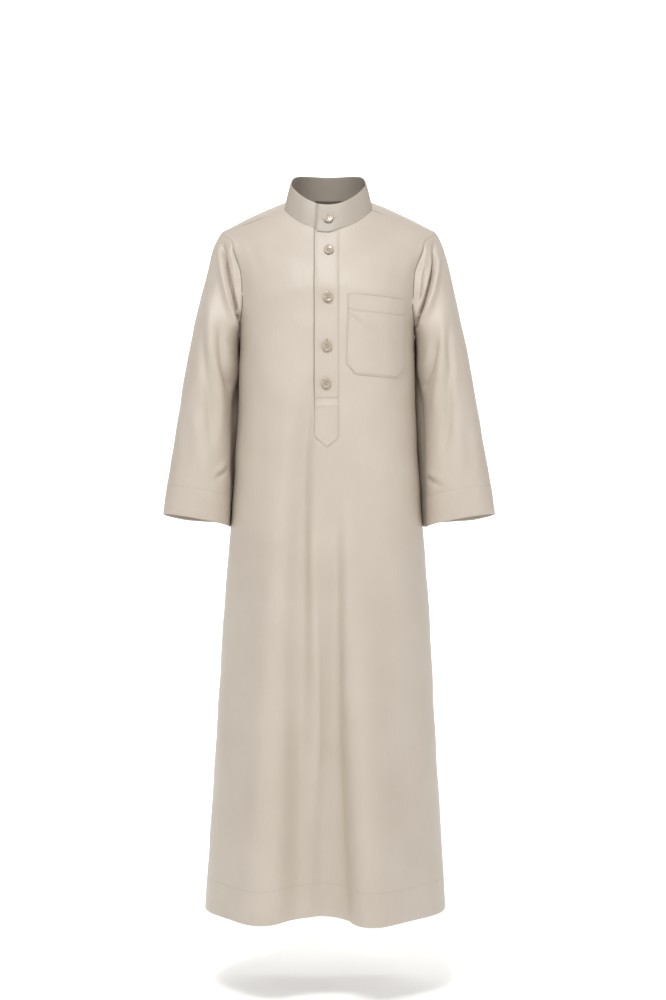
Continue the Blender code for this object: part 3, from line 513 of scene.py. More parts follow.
def panelPoint(panel, place, share, side):
    place, share, side = np.broadcast_arrays(np.asarray(place, float), np.asarray(share, float), side)
    controls, shift = rowControls(panel, place)
    rest = 1 - share
    weights = (rest ** 3, 3 * rest ** 2 * share, 3 * rest * share ** 2, share ** 3)
    found = sum(weight[..., None] * control for weight, control in zip(weights, controls))
    found[..., 0] = found[..., 0] * side + shift
    fold = foldHeight(panel, found[..., 0], found[..., 2]) * (1 - share ** 4)
    found[..., 1] += panel["facing"] * fold
    found[..., 2] -= hemDip["share"] * fold * ramp(-found[..., 2], hemDip["from"], hemDip["to"])
    return found


def unit(vectors):
    return vectors / np.maximum(np.linalg.norm(vectors, axis=-1, keepdims=True), 1e-12)


def panelNormal(panel, place, share, side):
    step = 0.01
    last = panel["lastPlace"]
    place, share = np.broadcast_arrays(np.asarray(place, float), np.asarray(share, float))
    low = panelPoint(panel, np.maximum(place - step, 0), share, side)
    high = panelPoint(panel, np.minimum(place + step, last), share, side)
    inner = panelPoint(panel, place, np.maximum(share - step, 0), side)
    outer = panelPoint(panel, place, np.minimum(share + step, 1), side)
    normal = unit(np.cross(outer - inner, high - low))
    turned = np.sign(normal[..., 1:2] * panel["facing"])
    return normal * np.where(turned == 0, 1, turned)


def smoothPath(path, pieces=7):  # a rounded line through the points of a crease
    points = np.asarray(path, float)
    padded = np.vstack([2 * points[0] - points[1], points, 2 * points[-1] - points[-2]])
    found = []
    for i in range(len(points) - 1):
        a, b, c, d = padded[i:i + 4]
        for t in np.linspace(0, 1, pieces, endpoint=False):
            found.append(0.5 * (2 * b + (c - a) * t + (2 * a - 5 * b + 4 * c - d) * t * t
                                + (3 * b - a - 3 * c + d) * t ** 3))
    return np.array(found + [points[-1]])


def creaseHeight(creases, x, z):
    total = np.zeros_like(x)
    for path, height, leftSpread, rightSpread, fadeIn, fadeOut in creases:
        line = smoothPath(path)
        steps = np.diff(line, axis=0)
        lengths = np.linalg.norm(steps, axis=1)
        starts = np.concatenate([[0.0], np.cumsum(lengths)])
        nearest = np.full(x.shape, 1e9)
        along = np.zeros_like(x)
        across = np.zeros_like(x)
        for k, (step, length) in enumerate(zip(steps, lengths)):
            dx, dz = x - line[k, 0], z - line[k, 1]
            share = np.clip((dx * step[0] + dz * step[1]) / length ** 2, 0, 1)
            offX, offZ = dx - share * step[0], dz - share * step[1]
            distance = np.hypot(offX, offZ)
            closer = distance < nearest
            nearest = np.where(closer, distance, nearest)
            along = np.where(closer, starts[k] + share * length, along)
            across = np.where(closer, step[0] * dz - step[1] * dx, across)
        along = along / starts[-1]
        spread = np.where(across > 0, rightSpread, leftSpread) * 0.001
        fade = np.ones_like(x)
        if fadeIn > 0:
            fade *= ramp(along, 0.0, fadeIn)
        if fadeOut > 0:
            fade *= 1 - ramp(along, 1 - fadeOut, 1.0)
        total += 0.001 * height * fade * np.exp(-((nearest / spread) ** 2))
    return total


def unevenness(x, z, seed):  # slow, slight waves, the same on every run
    found = np.zeros_like(x)
    for k, (reach, size) in enumerate(slowWaves):
        turn = seed * 1.7 + k * 2.3
        ux, uz = math.cos(turn), math.sin(turn)
        first = np.sin((x * ux + z * uz) / reach * 2 * math.pi + seed)
        second = np.sin((z * ux - x * uz) / (reach * 1.31) * 2 * math.pi + 2.1 * seed)
        found += size * first * second
    return found


def clothPoint(panel, place, share, side, grooved=True):  # the panel with its creases
    base = panelPoint(panel, place, share, side)
    normal = panelNormal(panel, place, share, side)
    height = creaseHeight(panel["creases"], base[..., 0], base[..., 2])
    height = height + unevenness(base[..., 0], base[..., 2], 1.0 + panel["facing"] * 0.4)
    if panel["slitWidth"] and grooved:
        beside = base[..., 0] + placketLap["width"] / 2
        spread = np.where(beside < 0, *placketLap["grooveSpread"])
        above = ramp(base[..., 2], placketLap["shoulderZ"] - 0.002, placketLap["shoulderZ"] + 0.004)
        height = height - placketLap["edgeGroove"] * dip(beside, spread) * above
    return base + normal * height[..., None]


def shareAtX(panel, place, distance):
    place, distance = np.broadcast_arrays(np.asarray(place, float), np.asarray(distance, float))
    (_, start, end, edge), _ = rowControls(panel, place)
    low, high = np.zeros(place.shape), np.ones(place.shape)
    for _ in range(20):
        share = (low + high) / 2
        rest = 1 - share
        x = (3 * rest ** 2 * share * start[..., 0] + 3 * rest * share ** 2 * end[..., 0]
             + share ** 3 * edge[..., 0])
        low, high = np.where(x < distance, share, low), np.where(x < distance, high, share)
    return (low + high) / 2


def placeAt(panel, x, z):  # the row and share of the point that is seen at this x and z
    x, z = np.asarray(x, float), np.asarray(z, float)
    low, high = np.zeros(x.shape), np.full(x.shape, float(panel["lastPlace"]))
    for _ in range(18):
        place = (low + high) / 2
        offset = x - panel["curves"]["centreX"](place)
        side = np.where(offset >= 0, 1.0, -1.0)
        share = shareAtX(panel, place, np.abs(offset))
        under = panelPoint(panel, place, share, side)[..., 2] < z
        low, high = np.where(under, place, low), np.where(under, high, place)
    return place, share, side


def gridNormals(grid, outward, closed=False):
    rows = np.gradient(grid, axis=0)
    if closed:
        columns = (np.roll(grid, -1, axis=1) - np.roll(grid, 1, axis=1)) / 2
    else:
        columns = np.gradient(grid, axis=1)
    return unit(np.cross(columns, rows)) * outward


def runLengths(points, axis):
    steps = np.linalg.norm(np.diff(points, axis=axis), axis=-1)
    first = np.zeros_like(np.take(steps, [0], axis=axis))
    return np.concatenate([first, np.cumsum(steps, axis=axis)], axis=axis)


# Meshes

def addMesh(name, points, faces, material, uvs=None):
    mesh = bpy.data.meshes.new(name)
    faces = faces.tolist() if isinstance(faces, np.ndarray) else faces
    mesh.from_pydata(np.asarray(points).tolist(), [], faces)
    if uvs is not None:
        layer = mesh.uv_layers.new(name="UVMap")
        index = np.empty(len(mesh.loops), np.int64)
        mesh.loops.foreach_get("vertex_index", index)
        layer.data.foreach_set("uv", np.asarray(uvs, np.float32)[index].ravel())
    mesh.materials.append(material)
    mesh.shade_smooth()
    made = bpy.data.objects.new(name, mesh)
    scene.collection.objects.link(made)
    return made


def addSheet(name, grid, uv, thickness, material, leftOut=None, flip=False, bevel=0.0):
    rows, columns = grid.shape[:2]
    index = np.arange(rows * columns).reshape(rows, columns)
    left, right = index[:, :-1], index[:, 1:]
    faces = np.stack([left[:-1], right[:-1], right[1:], left[1:]], -1)
    keep = np.ones(faces.shape[:2], bool)
    if leftOut is not None:
        keep[leftOut] = False
    faces = faces[keep]
    if flip:
        faces = faces[:, ::-1]
    made = addMesh(name, grid.reshape(-1, 3), faces, material, uv.reshape(-1, 2))
    wall = made.modifiers.new("wall", "SOLIDIFY")
    wall.thickness = thickness
    wall.offset = 0.0
    wall.use_rim = True
    if bevel:
        soft = made.modifiers.new("soft edge", "BEVEL")
        soft.width = bevel
        soft.segments = 2
        soft.limit_method = "ANGLE"
        soft.angle_limit = math.radians(50)
    return made


def dress(piece, node=None):
    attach(piece, "root")
    if node:
        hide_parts(node)
    return piece


def stitchLine(name, path, normals, material):
    # one mesh of short rounded threads that sink into the cloth at both ends
    lengths = runLengths(path, 0)
    total = lengths[-1]
    pitch = thread["length"] + thread["gap"]
    count = max(2, int(total / pitch))
    middles = (np.arange(count) + 0.5) * total / count
    half = thread["length"] / 2 * np.array([-1.0, -0.62, 0.0, 0.62, 1.0])
    girth = np.array([0.25, 0.85, 1.0, 0.85, 0.25])
    lift = np.array([-0.8, 0.5, 0.9, 0.5, -0.8]) * thread["height"] * 0.5
    at = np.clip(middles[:, None] + half[None], 0, total)
    centre = np.stack([np.interp(at, lengths, path[:, k]) for k in range(3)], -1)
    normal = unit(np.stack([np.interp(at, lengths, normals[:, k]) for k in range(3)], -1))
    tangent = unit(np.gradient(centre, axis=1))
    cross = unit(np.cross(normal, tangent))
    centre = centre + normal * lift[None, :, None]
    turns = np.arange(thread["sides"]) * 2 * math.pi / thread["sides"]
    ring = (cross[:, :, None] * (np.cos(turns) * thread["width"] / 2)[None, None, :, None]
            + normal[:, :, None] * (np.sin(turns) * thread["height"] / 2)[None, None, :, None])
    points = centre[:, :, None] + ring * girth[None, :, None, None]
    sides, sections = thread["sides"], len(half)
    index = np.arange(count * sections * sides).reshape(count, sections, sides)
    turned = np.roll(index, -1, axis=2)
    walls = np.stack([index[:, :-1], turned[:, :-1], turned[:, 1:], index[:, 1:]], -1).reshape(-1, 4)
    caps = np.concatenate([index[:, 0, ::-1], index[:, -1]], 0)
    return dress(addMesh(name, points.reshape(-1, 3), walls.tolist() + caps.tolist(), material))


# Materials

def setInputs(node, values):
    for key, value in values.items():
        node.inputs[key].default_value = value


def nodeTools(name):
    material = bpy.data.materials.new(name)
    material.use_nodes = True
    tree = material.node_tree

    def add(kind, inputs=None, **settings):
        node = tree.nodes.new(kind)
        for key, value in settings.items():
            setattr(node, key, value)
        setInputs(node, inputs or {})
        return node

    return material, tree.nodes["Principled BSDF"], add, tree.links.new


def darker(colour, share):
    return [c * share for c in colour[:3]] + [1.0]


def toneRamp(add, low, high, places=(0.0, 1.0)):
    node = add("ShaderNodeValToRGB")
    for element, tone, place in zip(node.color_ramp.elements, (low, high), places):
        element.position = place
        element.color = tone
    return node


def addBump(add, link, height, strength, distance):
    node = add("ShaderNodeBump", {"Strength": strength, "Distance": distance})
    link(height, node.inputs["Height"])
    return node


clothFinish = {
    "deepTone": (0.530, 0.460, 0.384, 1.0),
    "paleTone": (0.590, 0.520, 0.444, 1.0),
    # Each cloth's tones are multiplied by its share. The collar's 0.78 is painted shade: it darkens the
    # collar to stand in for the shadow a wearer's head would cast on it. The placket and pocket are made a
    # touch darker.
    "tonesAndPaintedShade": {"front": 1.0, "back": 1.0, "sleeves": 1.0, "collar": 0.78, "placket": 0.995, "pocket": 0.99},
    "roughness": 0.54,
    "gloss": 0.82,
    "sheen": 0.04,
    "sheenRoughness": 0.35,
    "sheenTint": (1.0, 0.93, 0.84, 1.0),
    "yarnPitch": 0.00050,
    "weaveHeight": 0.00004,
    "slubScale": (900, 45, 1),
    "slubHeight": 0.00025,
    "cloudScale": 9.0,
}


def clothMaterial(name, finish, toneAndPaintedShade):
    material, shader, add, link = nodeTools(name)
    coordinates = add("ShaderNodeTexCoord").outputs["UV"]
    bands = 2 * math.pi / (20 * finish["yarnPitch"])
    twill = add("ShaderNodeTexWave", {"Scale": bands * 0.5, "Distortion": 0.6, "Detail": 1.0},
                wave_type="BANDS", bands_direction="DIAGONAL")
    warp = add("ShaderNodeTexWave", {"Scale": bands}, wave_type="BANDS", bands_direction="X")
    weave = add("ShaderNodeMath", {1: 0.6}, operation="MULTIPLY_ADD")
    slubPlace = add("ShaderNodeMapping", {"Scale": finish["slubScale"]})
    slub = add("ShaderNodeTexNoise", {"Scale": 1.0, "Detail": 3.0})
    cloud = add("ShaderNodeTexNoise", {"Scale": finish["cloudScale"], "Detail": 4.0})
    mixing = add("ShaderNodeMath", {1: 0.45}, operation="MULTIPLY_ADD")
    # the tones are darkened by the given share, which for the collar is painted shade
    tones = toneRamp(add, darker(finish["deepTone"], toneAndPaintedShade), darker(finish["paleTone"], toneAndPaintedShade), (0.45, 0.98))
    for node in (twill, warp, slubPlace, cloud):
        link(coordinates, node.inputs["Vector"])
    link(slubPlace.outputs["Vector"], slub.inputs["Vector"])
    link(twill.outputs["Fac"], weave.inputs[0])
    link(warp.outputs["Fac"], weave.inputs[2])
    link(slub.outputs["Fac"], mixing.inputs[0])
    link(cloud.outputs["Fac"], mixing.inputs[2])
    link(mixing.outputs["Value"], tones.inputs["Fac"])
    link(tones.outputs["Color"], shader.inputs["Base Color"])
    bump = addBump(add, link, weave.outputs["Value"], 0.5, finish["weaveHeight"])
    fuzz = addBump(add, link, slub.outputs["Fac"], 0.25, finish["slubHeight"])
    link(bump.outputs["Normal"], fuzz.inputs["Normal"])
    link(fuzz.outputs["Normal"], shader.inputs["Normal"])
    setInputs(shader, {"Roughness": finish["roughness"], "Specular IOR Level": finish["gloss"],
                       "Sheen Weight": finish["sheen"], "Sheen Roughness": finish["sheenRoughness"],
                       "Sheen Tint": finish["sheenTint"]})
    return material


threadFinish = {"colour": (0.47, 0.39, 0.30, 1.0), "roughness": 0.5, "sheen": 0.2, "twist": 1400.0}


def threadMaterial(finish):
    material, shader, add, link = nodeTools("sewing thread")
    twist = add("ShaderNodeTexWave", {"Scale": finish["twist"]},
                wave_type="BANDS", bands_direction="DIAGONAL")
    link(add("ShaderNodeTexCoord").outputs["Object"], twist.inputs["Vector"])
    tones = toneRamp(add, darker(finish["colour"], 0.86), finish["colour"])
    link(twist.outputs["Fac"], tones.inputs["Fac"])
    link(tones.outputs["Color"], shader.inputs["Base Color"])
    setInputs(shader, {"Roughness": finish["roughness"], "Sheen Weight": finish["sheen"]})
    return material


buttonFinish = {
    "deepTone": (0.40, 0.330, 0.250, 1.0),
    "paleTone": (0.55, 0.465, 0.372, 1.0),
    "roughness": 0.22,
    "coat": 0.3,
    "coatRoughness": 0.2,
    "scratchHeight": 0.0001,
}


def buttonMaterial(finish):
    material, shader, add, link = nodeTools("button resin")
    coordinates = add("ShaderNodeTexCoord").outputs["Object"]
    grain = add("ShaderNodeTexNoise", {"Scale": 160.0, "Detail": 5.0, "Distortion": 1.6})
    scratch = add("ShaderNodeTexNoise", {"Scale": 900.0})
    for node in (grain, scratch):
        link(coordinates, node.inputs["Vector"])
    tones = toneRamp(add, finish["deepTone"], finish["paleTone"], (0.35, 0.70))
    link(grain.outputs["Fac"], tones.inputs["Fac"])
    link(tones.outputs["Color"], shader.inputs["Base Color"])
    bump = addBump(add, link, scratch.outputs["Fac"], 0.15, finish["scratchHeight"])
    link(bump.outputs["Normal"], shader.inputs["Normal"])
    setInputs(shader, {"Roughness": finish["roughness"], "Coat Weight": finish["coat"],
                       "Coat Roughness": finish["coatRoughness"]})
    return material


# Front and back

def halfShares(panel, places, side, startX):
    # shares for even steps along each row, with fine steps beside the edge
    dense = np.linspace(0, 1, 181)
    points = panelPoint(panel, places[:, None], dense[None, :], side)
    lengths = runLengths(points, 1)
    first = shareAtX(panel, places, startX) if startX else np.zeros(len(places))
    shares = np.empty((len(places), panel["halfColumns"] + len(edgeColumns)))
    fromEdge = np.empty_like(shares)
    for i in range(len(places)):
        start = np.interp(first[i], dense, lengths[i])
        total = lengths[i, -1]
        if panel["slitWidth"]:
            beside = placketLap["width"] / 2 + np.linspace(-0.0028, 0.0056, panel["placketColumns"])
            inner = np.linspace(start, beside[0], 6)[:-1]
            left = panel["halfColumns"] - len(beside) - 3
            outer = np.linspace(beside[-1], total - edgeColumns[0], left)[1:-1]
            wanted = np.concatenate([inner, beside, outer, total - edgeColumns])
        else:
            even = np.linspace(start, total - edgeColumns[0], panel["halfColumns"] + 1)[:-1]
            wanted = np.concatenate([even, total - edgeColumns])
        shares[i] = np.interp(wanted, lengths[i], dense)
        fromEdge[i] = total - wanted
    return shares, fromEdge


def rowsOf(panel):
    # lengths from the hem at which rows lie, and the places of these rows
    dense = np.linspace(0, panel["lastPlace"], 700)
    lengths = runLengths(panelPoint(panel, dense, 0.5, 1), 0)
    total = lengths[-1]
    stitch = panel["hemDepth"]
    wanted = np.concatenate([
        np.linspace(0, stitch - 0.004, 10),
        stitch + stitchRows,
        np.arange(stitch + 0.009, panel["fineAbove"], panel["coarseRow"]),
        np.arange(panel["fineAbove"], total - 0.005, panel["fineRow"]),
        total - np.array([0.0024, 0.0012, 0.0]),
    ])
    return wanted, np.interp(wanted, lengths, dense)


def panelGrid(panel, places):
    left, leftFromEdge = halfShares(panel, places, 1, panel["slitWidth"] / 2)
    right, rightFromEdge = halfShares(panel, places, -1, panel["slitWidth"] / 2)
    leftPoints = clothPoint(panel, places[:, None], left, 1)
    rightPoints = clothPoint(panel, places[:, None], right, -1)
    skip = 0 if panel["slitWidth"] else 1
    grid = np.concatenate([rightPoints[:, ::-1], leftPoints[:, skip:]], 1)
    fromEdge = np.concatenate([rightFromEdge[:, ::-1], leftFromEdge[:, skip:]], 1)
    return grid, fromEdge


def softenShoulders(panel, grid, places, fromEdge):
    # evens the surface out between the armholes and the neck, away from the seams and the placket
    reach = panel["softRows"]
    offsets = np.arange(-2 * reach, 2 * reach + 1)
    weights = np.exp(-((offsets / reach) ** 2))
    padded = np.pad(grid, ((2 * reach, 2 * reach), (0, 0), (0, 0)), mode="edge")
    total = sum(w * padded[2 * reach + k:2 * reach + k + len(grid)] for w, k in zip(weights, offsets))
    at = panel["place"]
    rows = between(places, at["mid armhole"], at["high armhole"], at["mid shoulder"],
                   at["neck"] - shoulderSoftening["beforeNeck"])
    amount = rows[:, None] * ramp(fromEdge, *shoulderSoftening["fromEdge"])
    amount = amount * ramp(np.abs(grid[..., 0]), *shoulderSoftening["fromMiddle"])
    return grid + (total / weights.sum() - grid) * amount[..., None]


def foldArc(edge, before, normals, turns):  # the rounded turn of a hem, as rows between outside and inside
    down = unit(edge - before)
    radius = hemFold["gap"] / 2
    angles = [math.radians(turn) for turn in turns]
    return np.array([edge - normals * radius * (1 - math.cos(a)) + down * radius * math.sin(a)
                     for a in angles])


def buildPanel(panel, name, material):
    outward = -panel["facing"]
    lengths, places = rowsOf(panel)
    grid, fromEdge = panelGrid(panel, places)
    grid = softenShoulders(panel, grid, places, fromEdge)
    normals = gridNormals(grid, outward)
    middle = grid.shape[1] // 2
    tuck = seam["tuck"] * dip(fromEdge, seam["tuckWidth"])
    topTuck = seam["tuck"] * dip(lengths[-1] - lengths, seam["tuckWidth"])[:, None]
    groove = stitchGroove["depth"] * dip(lengths - panel["hemDepth"], stitchGroove["width"])
    across = runLengths(grid, 1)
    across = across - across[:, middle:middle + 1]
    pucker = hemPucker(across, lengths[:, None] - panel["hemDepth"], panel["facing"])
    grid = grid - normals * (np.maximum(tuck, topTuck) + groove[:, None] + pucker)[..., None]
    # the turned hem goes up the inside
    inside = np.linspace(panel["hemDepth"] + hemFold["extra"], 0.0012, 12)
    insidePlaces = np.interp(inside, lengths, places)
    inner, _ = panelGrid(panel, insidePlaces)
    inner = inner - gridNormals(inner[::-1], outward)[::-1] * hemFold["gap"]
    arc = foldArc(grid[0], grid[1], normals[0], (135, 90, 45))
    whole = np.concatenate([inner, arc, grid], 0)
    arcLengths = -hemFold["gap"] * np.array([0.75, 0.5, 0.25])
    v = np.concatenate([-inside, arcLengths, lengths])
    u = runLengths(whole, 1)
    u = u - u[:, middle:middle + 1]
    uv = np.stack([u, np.broadcast_to(v[:, None], u.shape)], -1)
    leftOut = None
    if panel["slitWidth"]:
        slitRow = len(inside) + len(arc) + int(np.searchsorted(places, panel["place"]["slit foot"]))
        leftOut = (slice(slitRow, None), middle - 1)
    piece = addSheet(name, whole, uv, panel["thickness"], material, leftOut=leftOut, flip=panel["facing"] > 0)
    dress(piece, panel["node"])
    stitchRow = int(np.argmin(np.abs(lengths - panel["hemDepth"])))
    finalNormals = gridNormals(grid, outward)
    lift = panel["thickness"] / 2
    path = grid[stitchRow, 3:-3] + finalNormals[stitchRow, 3:-3] * lift
    stitches = stitchLine(name + "HemStitches", path, finalNormals[stitchRow, 3:-3], threadCloth)
    return piece, stitches


def hemPucker(across, offset, facing):
    # tiny uneven pulls beside the hem's stitches
    wave = np.sin(across / hemFold["puckerLength"] * 2 * math.pi + 1.3 * facing)
    wave = wave * (0.6 + 0.4 * np.sin(across / hemFold["puckerBeat"] * 2 * math.pi))
    return hemFold["puckerHeight"] * wave * dip(offset, hemFold["puckerReach"])


# Sleeves

def ringPoint(curves, place, turn, side, spread):
    at = {name: curve(place) for name, curve in curves.items()}
    zero = np.zeros_like(at["outerX"])
    outer = np.stack([at["outerX"] + spread, zero, at["outerZ"]], -1)
    inner = np.stack([at["innerX"] + spread * 0.5, zero, at["innerZ"]], -1)
    middle = (outer + inner) / 2
    middle[..., 1] += at["middleY"]
    tilt = np.radians(at["tilt"])
    back = np.stack([zero, np.cos(tilt), -np.sin(tilt)], -1) * at["halfDepth"][..., None]
    across, deep = np.cos(turn), np.sin(turn)
    # the quarter that faces forward and towards the body is squarer further down
    quarter = (turn > math.pi / 2) & (turn < math.pi)
    low = ramp(-middle[..., 2], -sleeveShape["squareFrom"], -sleeveShape["squareTo"])
    square = 1 - sleeveShape["squareness"] * low
    across = np.where(quarter, -np.abs(across) ** square, across)
    deep = np.where(quarter, np.abs(deep) ** square, deep)
    point = middle + (outer - inner) / 2 * across[..., None] - back * deep[..., None]
    point[..., 0] *= side
    return point


def armholeEdge(side):
    # the armhole's edge: down the front from the shoulder point, and up the back
    turn = np.linspace(0, 2 * math.pi, 481)
    low = frontPanel["place"]["armpit"]
    rows = frontPanel["place"]["shoulder point"] - low
    frontPlace = low + rows * (1 - np.clip(turn / math.pi, 0, 1))
    backPlace = low + rows * np.clip(turn / math.pi - 1, 0, 1)
    first = clothPoint(frontPanel, frontPlace, 1.0, side)
    second = clothPoint(backPanel, backPlace, 1.0, side)
    return turn, np.where((turn <= math.pi)[:, None], first, second)


def bodySideX(y, z, side):
    found = np.zeros_like(y)
    for panel, chosen in ((frontPanel, y < 0), (backPanel, y >= 0)):
        dense = np.linspace(0, panel["place"]["armpit"], 200)
        place = np.interp(z, panel["curves"]["edgeZ"](dense), dense)
        low, high = np.zeros_like(y), np.ones_like(y)
        for _ in range(14):
            share = (low + high) / 2
            deeper = np.abs(panelPoint(panel, place, share, side)[..., 1]) > np.abs(y)
            low, high = np.where(deeper, share, low), np.where(deeper, high, share)
        found = np.where(chosen, side * panelPoint(panel, place, share, side)[..., 0], found)
    return found


def sleevePoint(sleeve, curves, lastPlace, place, turn):
    side = sleeve["side"]
    share = place / lastPlace
    oval = ringPoint(curves, place, turn, side, sleeve["spread"] * share)
    zero = np.zeros_like(place)
    start = ringPoint(curves, zero, turn, side, zero)
    own = 1 - ramp(share, 0, sleeveShape["capFade"])
    edgeTurns, edgePoints = sleeve["edge"]
    edge = np.stack([np.interp(turn, edgeTurns, edgePoints[:, k]) for k in range(3)], -1)
    edge[..., 0] += side * seam["offset"]
    point = oval + (edge - start) * own[..., None]
    armpitZ = frontPanel["curves"]["edgeZ"](frontPanel["place"]["armpit"])
    z = point[..., 2]
    below = sleeveShape["tuckTop"] - z
    pushed = between(turn / math.pi, *sleeveShape["tuckTurns"]) * ramp(below, 0, sleeveShape["tuckReach"])
    point[..., 1] += sleeveShape["tuckBehind"] * pushed
    least = bodySideX(point[..., 1], z, side) + sleeveShape["bodyClearance"]
    # behind, it lies against the body, so that nothing shows between the two
    below = sleeveShape["hugTop"] - z
    hug = between(turn / math.pi, *sleeveShape["hugTurns"]) * ramp(below, 0, sleeveShape["hugReach"])
    x = side * point[..., 0]
    x = np.where(x > least, x + (least - x) * hug, x)
    low = (share > 0) & (z < armpitZ)
    point[..., 0] = side * np.where(low, np.maximum(x, least), x)
    return point


def buildSleeve(sleeve, name, material):
    side = sleeve["side"]
    knots, _, curves = readTable(sleeveShape["rings"], ringColumns, {})
    last = knots[-1]
    columns = sleeveShape["columns"]
    turns = np.linspace(0, 2 * math.pi, 481)
    first, end = (share * math.pi for share in sleeveShape["creasedTurns"])
    weight = np.where((turns > first) & (turns < end), sleeveShape["frontInnerWeight"], 1.0)[1:]
    sleeve["edge"] = armholeEdge(side)
    dense = np.linspace(0, last, 240)
    denseRun = runLengths(sleevePoint(sleeve, curves, last, dense, np.full(240, math.pi * 0.35)), 0)
    total = denseRun[-1]
    stitch = total - sleeveShape["cuffDepth"]
    lengths = np.concatenate([
        [0.0, 0.0007, 0.0014, 0.0024],
        np.arange(0.0040, sleeveShape["capDepth"], sleeveShape["capRows"]),
        np.arange(sleeveShape["capDepth"], stitch - 0.004, sleeveShape["rowLength"]),
        stitch + stitchRows,
        np.linspace(stitch + 0.008, total, 9),
    ])

    def gridAt(runs):
        places = np.interp(runs, denseRun, dense)
        place, turn = np.meshgrid(places, turns, indexing="ij")
        fine = sleevePoint(sleeve, curves, last, place, turn)
        steps = np.linalg.norm(np.diff(fine, axis=1), axis=-1) * weight
        reached = np.concatenate([np.zeros((len(runs), 1)), np.cumsum(steps, axis=1)], 1)
        grid = np.empty((len(runs), columns, 3))
        for i in range(len(runs)):
            wanted = np.arange(columns) / columns * reached[i, -1]
            for k in range(3):
                grid[i, :, k] = np.interp(wanted, reached[i], fine[i, :, k])
        # outward: rows go down the arm, columns round the front first
        normals = gridNormals(grid, side, closed=True)
        x, z = side * grid[..., 0], grid[..., 2]
        front = ramp(-normals[..., 1], -0.05, 0.40)
        back = ramp(normals[..., 1], -0.05, 0.40)
        height = creaseHeight(sleeve["frontCreases"], x, z) * front
        height = height + creaseHeight(sleeve["backCreases"], x, z) * back
        height = height + unevenness(side * grid[..., 1] + x, z, 2.0 + 0.7 * side)
        height = height * ramp(runs, 0.0, 0.006)[:, None]
        return grid + normals * height[..., None]

    grid = gridAt(lengths)
    normals = gridNormals(grid, side, closed=True)
    tuck = seam["tuck"] * dip(lengths, seam["tuckWidth"])
    groove = stitchGroove["depth"] * dip(lengths - stitch, stitchGroove["width"])
    grid = grid - normals * (tuck + groove)[:, None, None]
    inside = np.linspace(total - 0.0012, stitch - hemFold["extra"], 11)
    inner = gridAt(inside[::-1])[::-1]
    inner = inner - gridNormals(inner[::-1], side, closed=True)[::-1] * hemFold["gap"]
    arc = foldArc(grid[-1], grid[-2], normals[-1], (45, 90, 135))
    whole = np.concatenate([grid, arc, inner], 0)
    v = np.concatenate([lengths, total + hemFold["gap"] * np.array([0.25, 0.5, 0.75]), 2 * total - inside])
    # a seam column repeats the first one, so that the weave's coordinates don't wrap
    whole = np.concatenate([whole, whole[:, :1]], 1)
    u = runLengths(whole, 1)
    uv = np.stack([u, np.broadcast_to(-v[:, None], u.shape)], -1)
    piece = addSheet(name, whole, uv, sleeveShape["thickness"], material, flip=side < 0)
    dress(piece, sleeve["node"])
    row = int(np.argmin(np.abs(lengths - stitch)))
    finalNormals = gridNormals(grid, side, closed=True)
    loop = grid[row] + finalNormals[row] * sleeveShape["thickness"] / 2
    loop = np.concatenate([loop, loop[:1]], 0)
    loopNormals = np.concatenate([finalNormals[row], finalNormals[row, :1]], 0)
    stitches = stitchLine(name + "CuffStitches", loop, loopNormals, threadCloth)
    return piece, stitches


# Collar

def neckSeam():
    shares = np.linspace(0.0, 1.0, 61)
    runs = ((frontPanel, shares[:-1], 1), (backPanel, shares[:0:-1], 1),
            (backPanel, shares[:-1], -1), (frontPanel, shares[::-1], -1))
    points = np.concatenate([clothPoint(p, p["lastPlace"], s, side) for p, s, side in runs])
    lengths = runLengths(points, 0)
    return points, lengths


def collarPoint(length, heightShare):
    length, heightShare = np.broadcast_arrays(np.asarray(length, float), np.asarray(heightShare, float))
    points, lengths = neckLine
    total = lengths[-1]
    at = np.mod(length, total)
    base = np.stack([np.interp(at, lengths, points[:, k]) for k in range(3)], -1)
    outward = unit(np.stack([base[..., 0], base[..., 1] + 0.005, np.zeros_like(at)], -1))
    atBack = ramp(base[..., 1], -0.03, 0.04)
    height = collarBand["heightFront"] + (collarBand["heightBack"] - collarBand["heightFront"]) * atBack
    over = 1 - ramp(length, collarBand["lap"], collarBand["lap"] + collarBand["lapFade"])
    under = ramp(length, total - collarBand["lap"] - collarBand["lapFade"], total - collarBand["lap"])
    apart = collarBand["lapRoom"] * (over - under)
    tab = 1 - ramp(length, 0.0, collarBand["tabEnd"])
    low = collarBand["foot"] - collarBand["tabDrop"] * tab
    rise = low + (height - low) * heightShare
    bulge = collarBand["bulge"] * np.sin(math.pi * heightShare)
    # the tab stands a little off the front where it hangs below the seam
    stand = collarBand["tabStand"] * tab * (1 - ramp(heightShare, 0.0, collarBand["tabFade"]))
    shift = apart + bulge + stand - collarBand["lean"] * height * heightShare
    found = base + outward * shift[..., None]
    found[..., 2] += rise
    return found


def buildCollar(material):
    total = neckLine[1][-1]
    lap = collarBand["lap"]
    run = np.linspace(-lap, total + lap, collarBand["columns"] + 1)
    share = np.linspace(0, 1, collarBand["rows"] + 1)
    grid = collarPoint(run[None, :], share[:, None])
    u = np.broadcast_to(run[None, :], grid.shape[:2])
    v = np.broadcast_to((share * collarBand["heightFront"])[:, None], grid.shape[:2])
    piece = addSheet("collarBand", grid, np.stack([u, v], -1), collarBand["thickness"], material,
                     bevel=collarBand["softEdge"])
    return dress(piece, collarBand["node"])


# Pieces that lie on the front

def onFront(x, z, distance):
    # the groove beside the placket's free edge isn't followed
    place, share, side = placeAt(frontPanel, x, z)
    points = clothPoint(frontPanel, place, share, side, grooved=False)
    return points + panelNormal(frontPanel, place, share, side) * np.asarray(distance)[..., None]


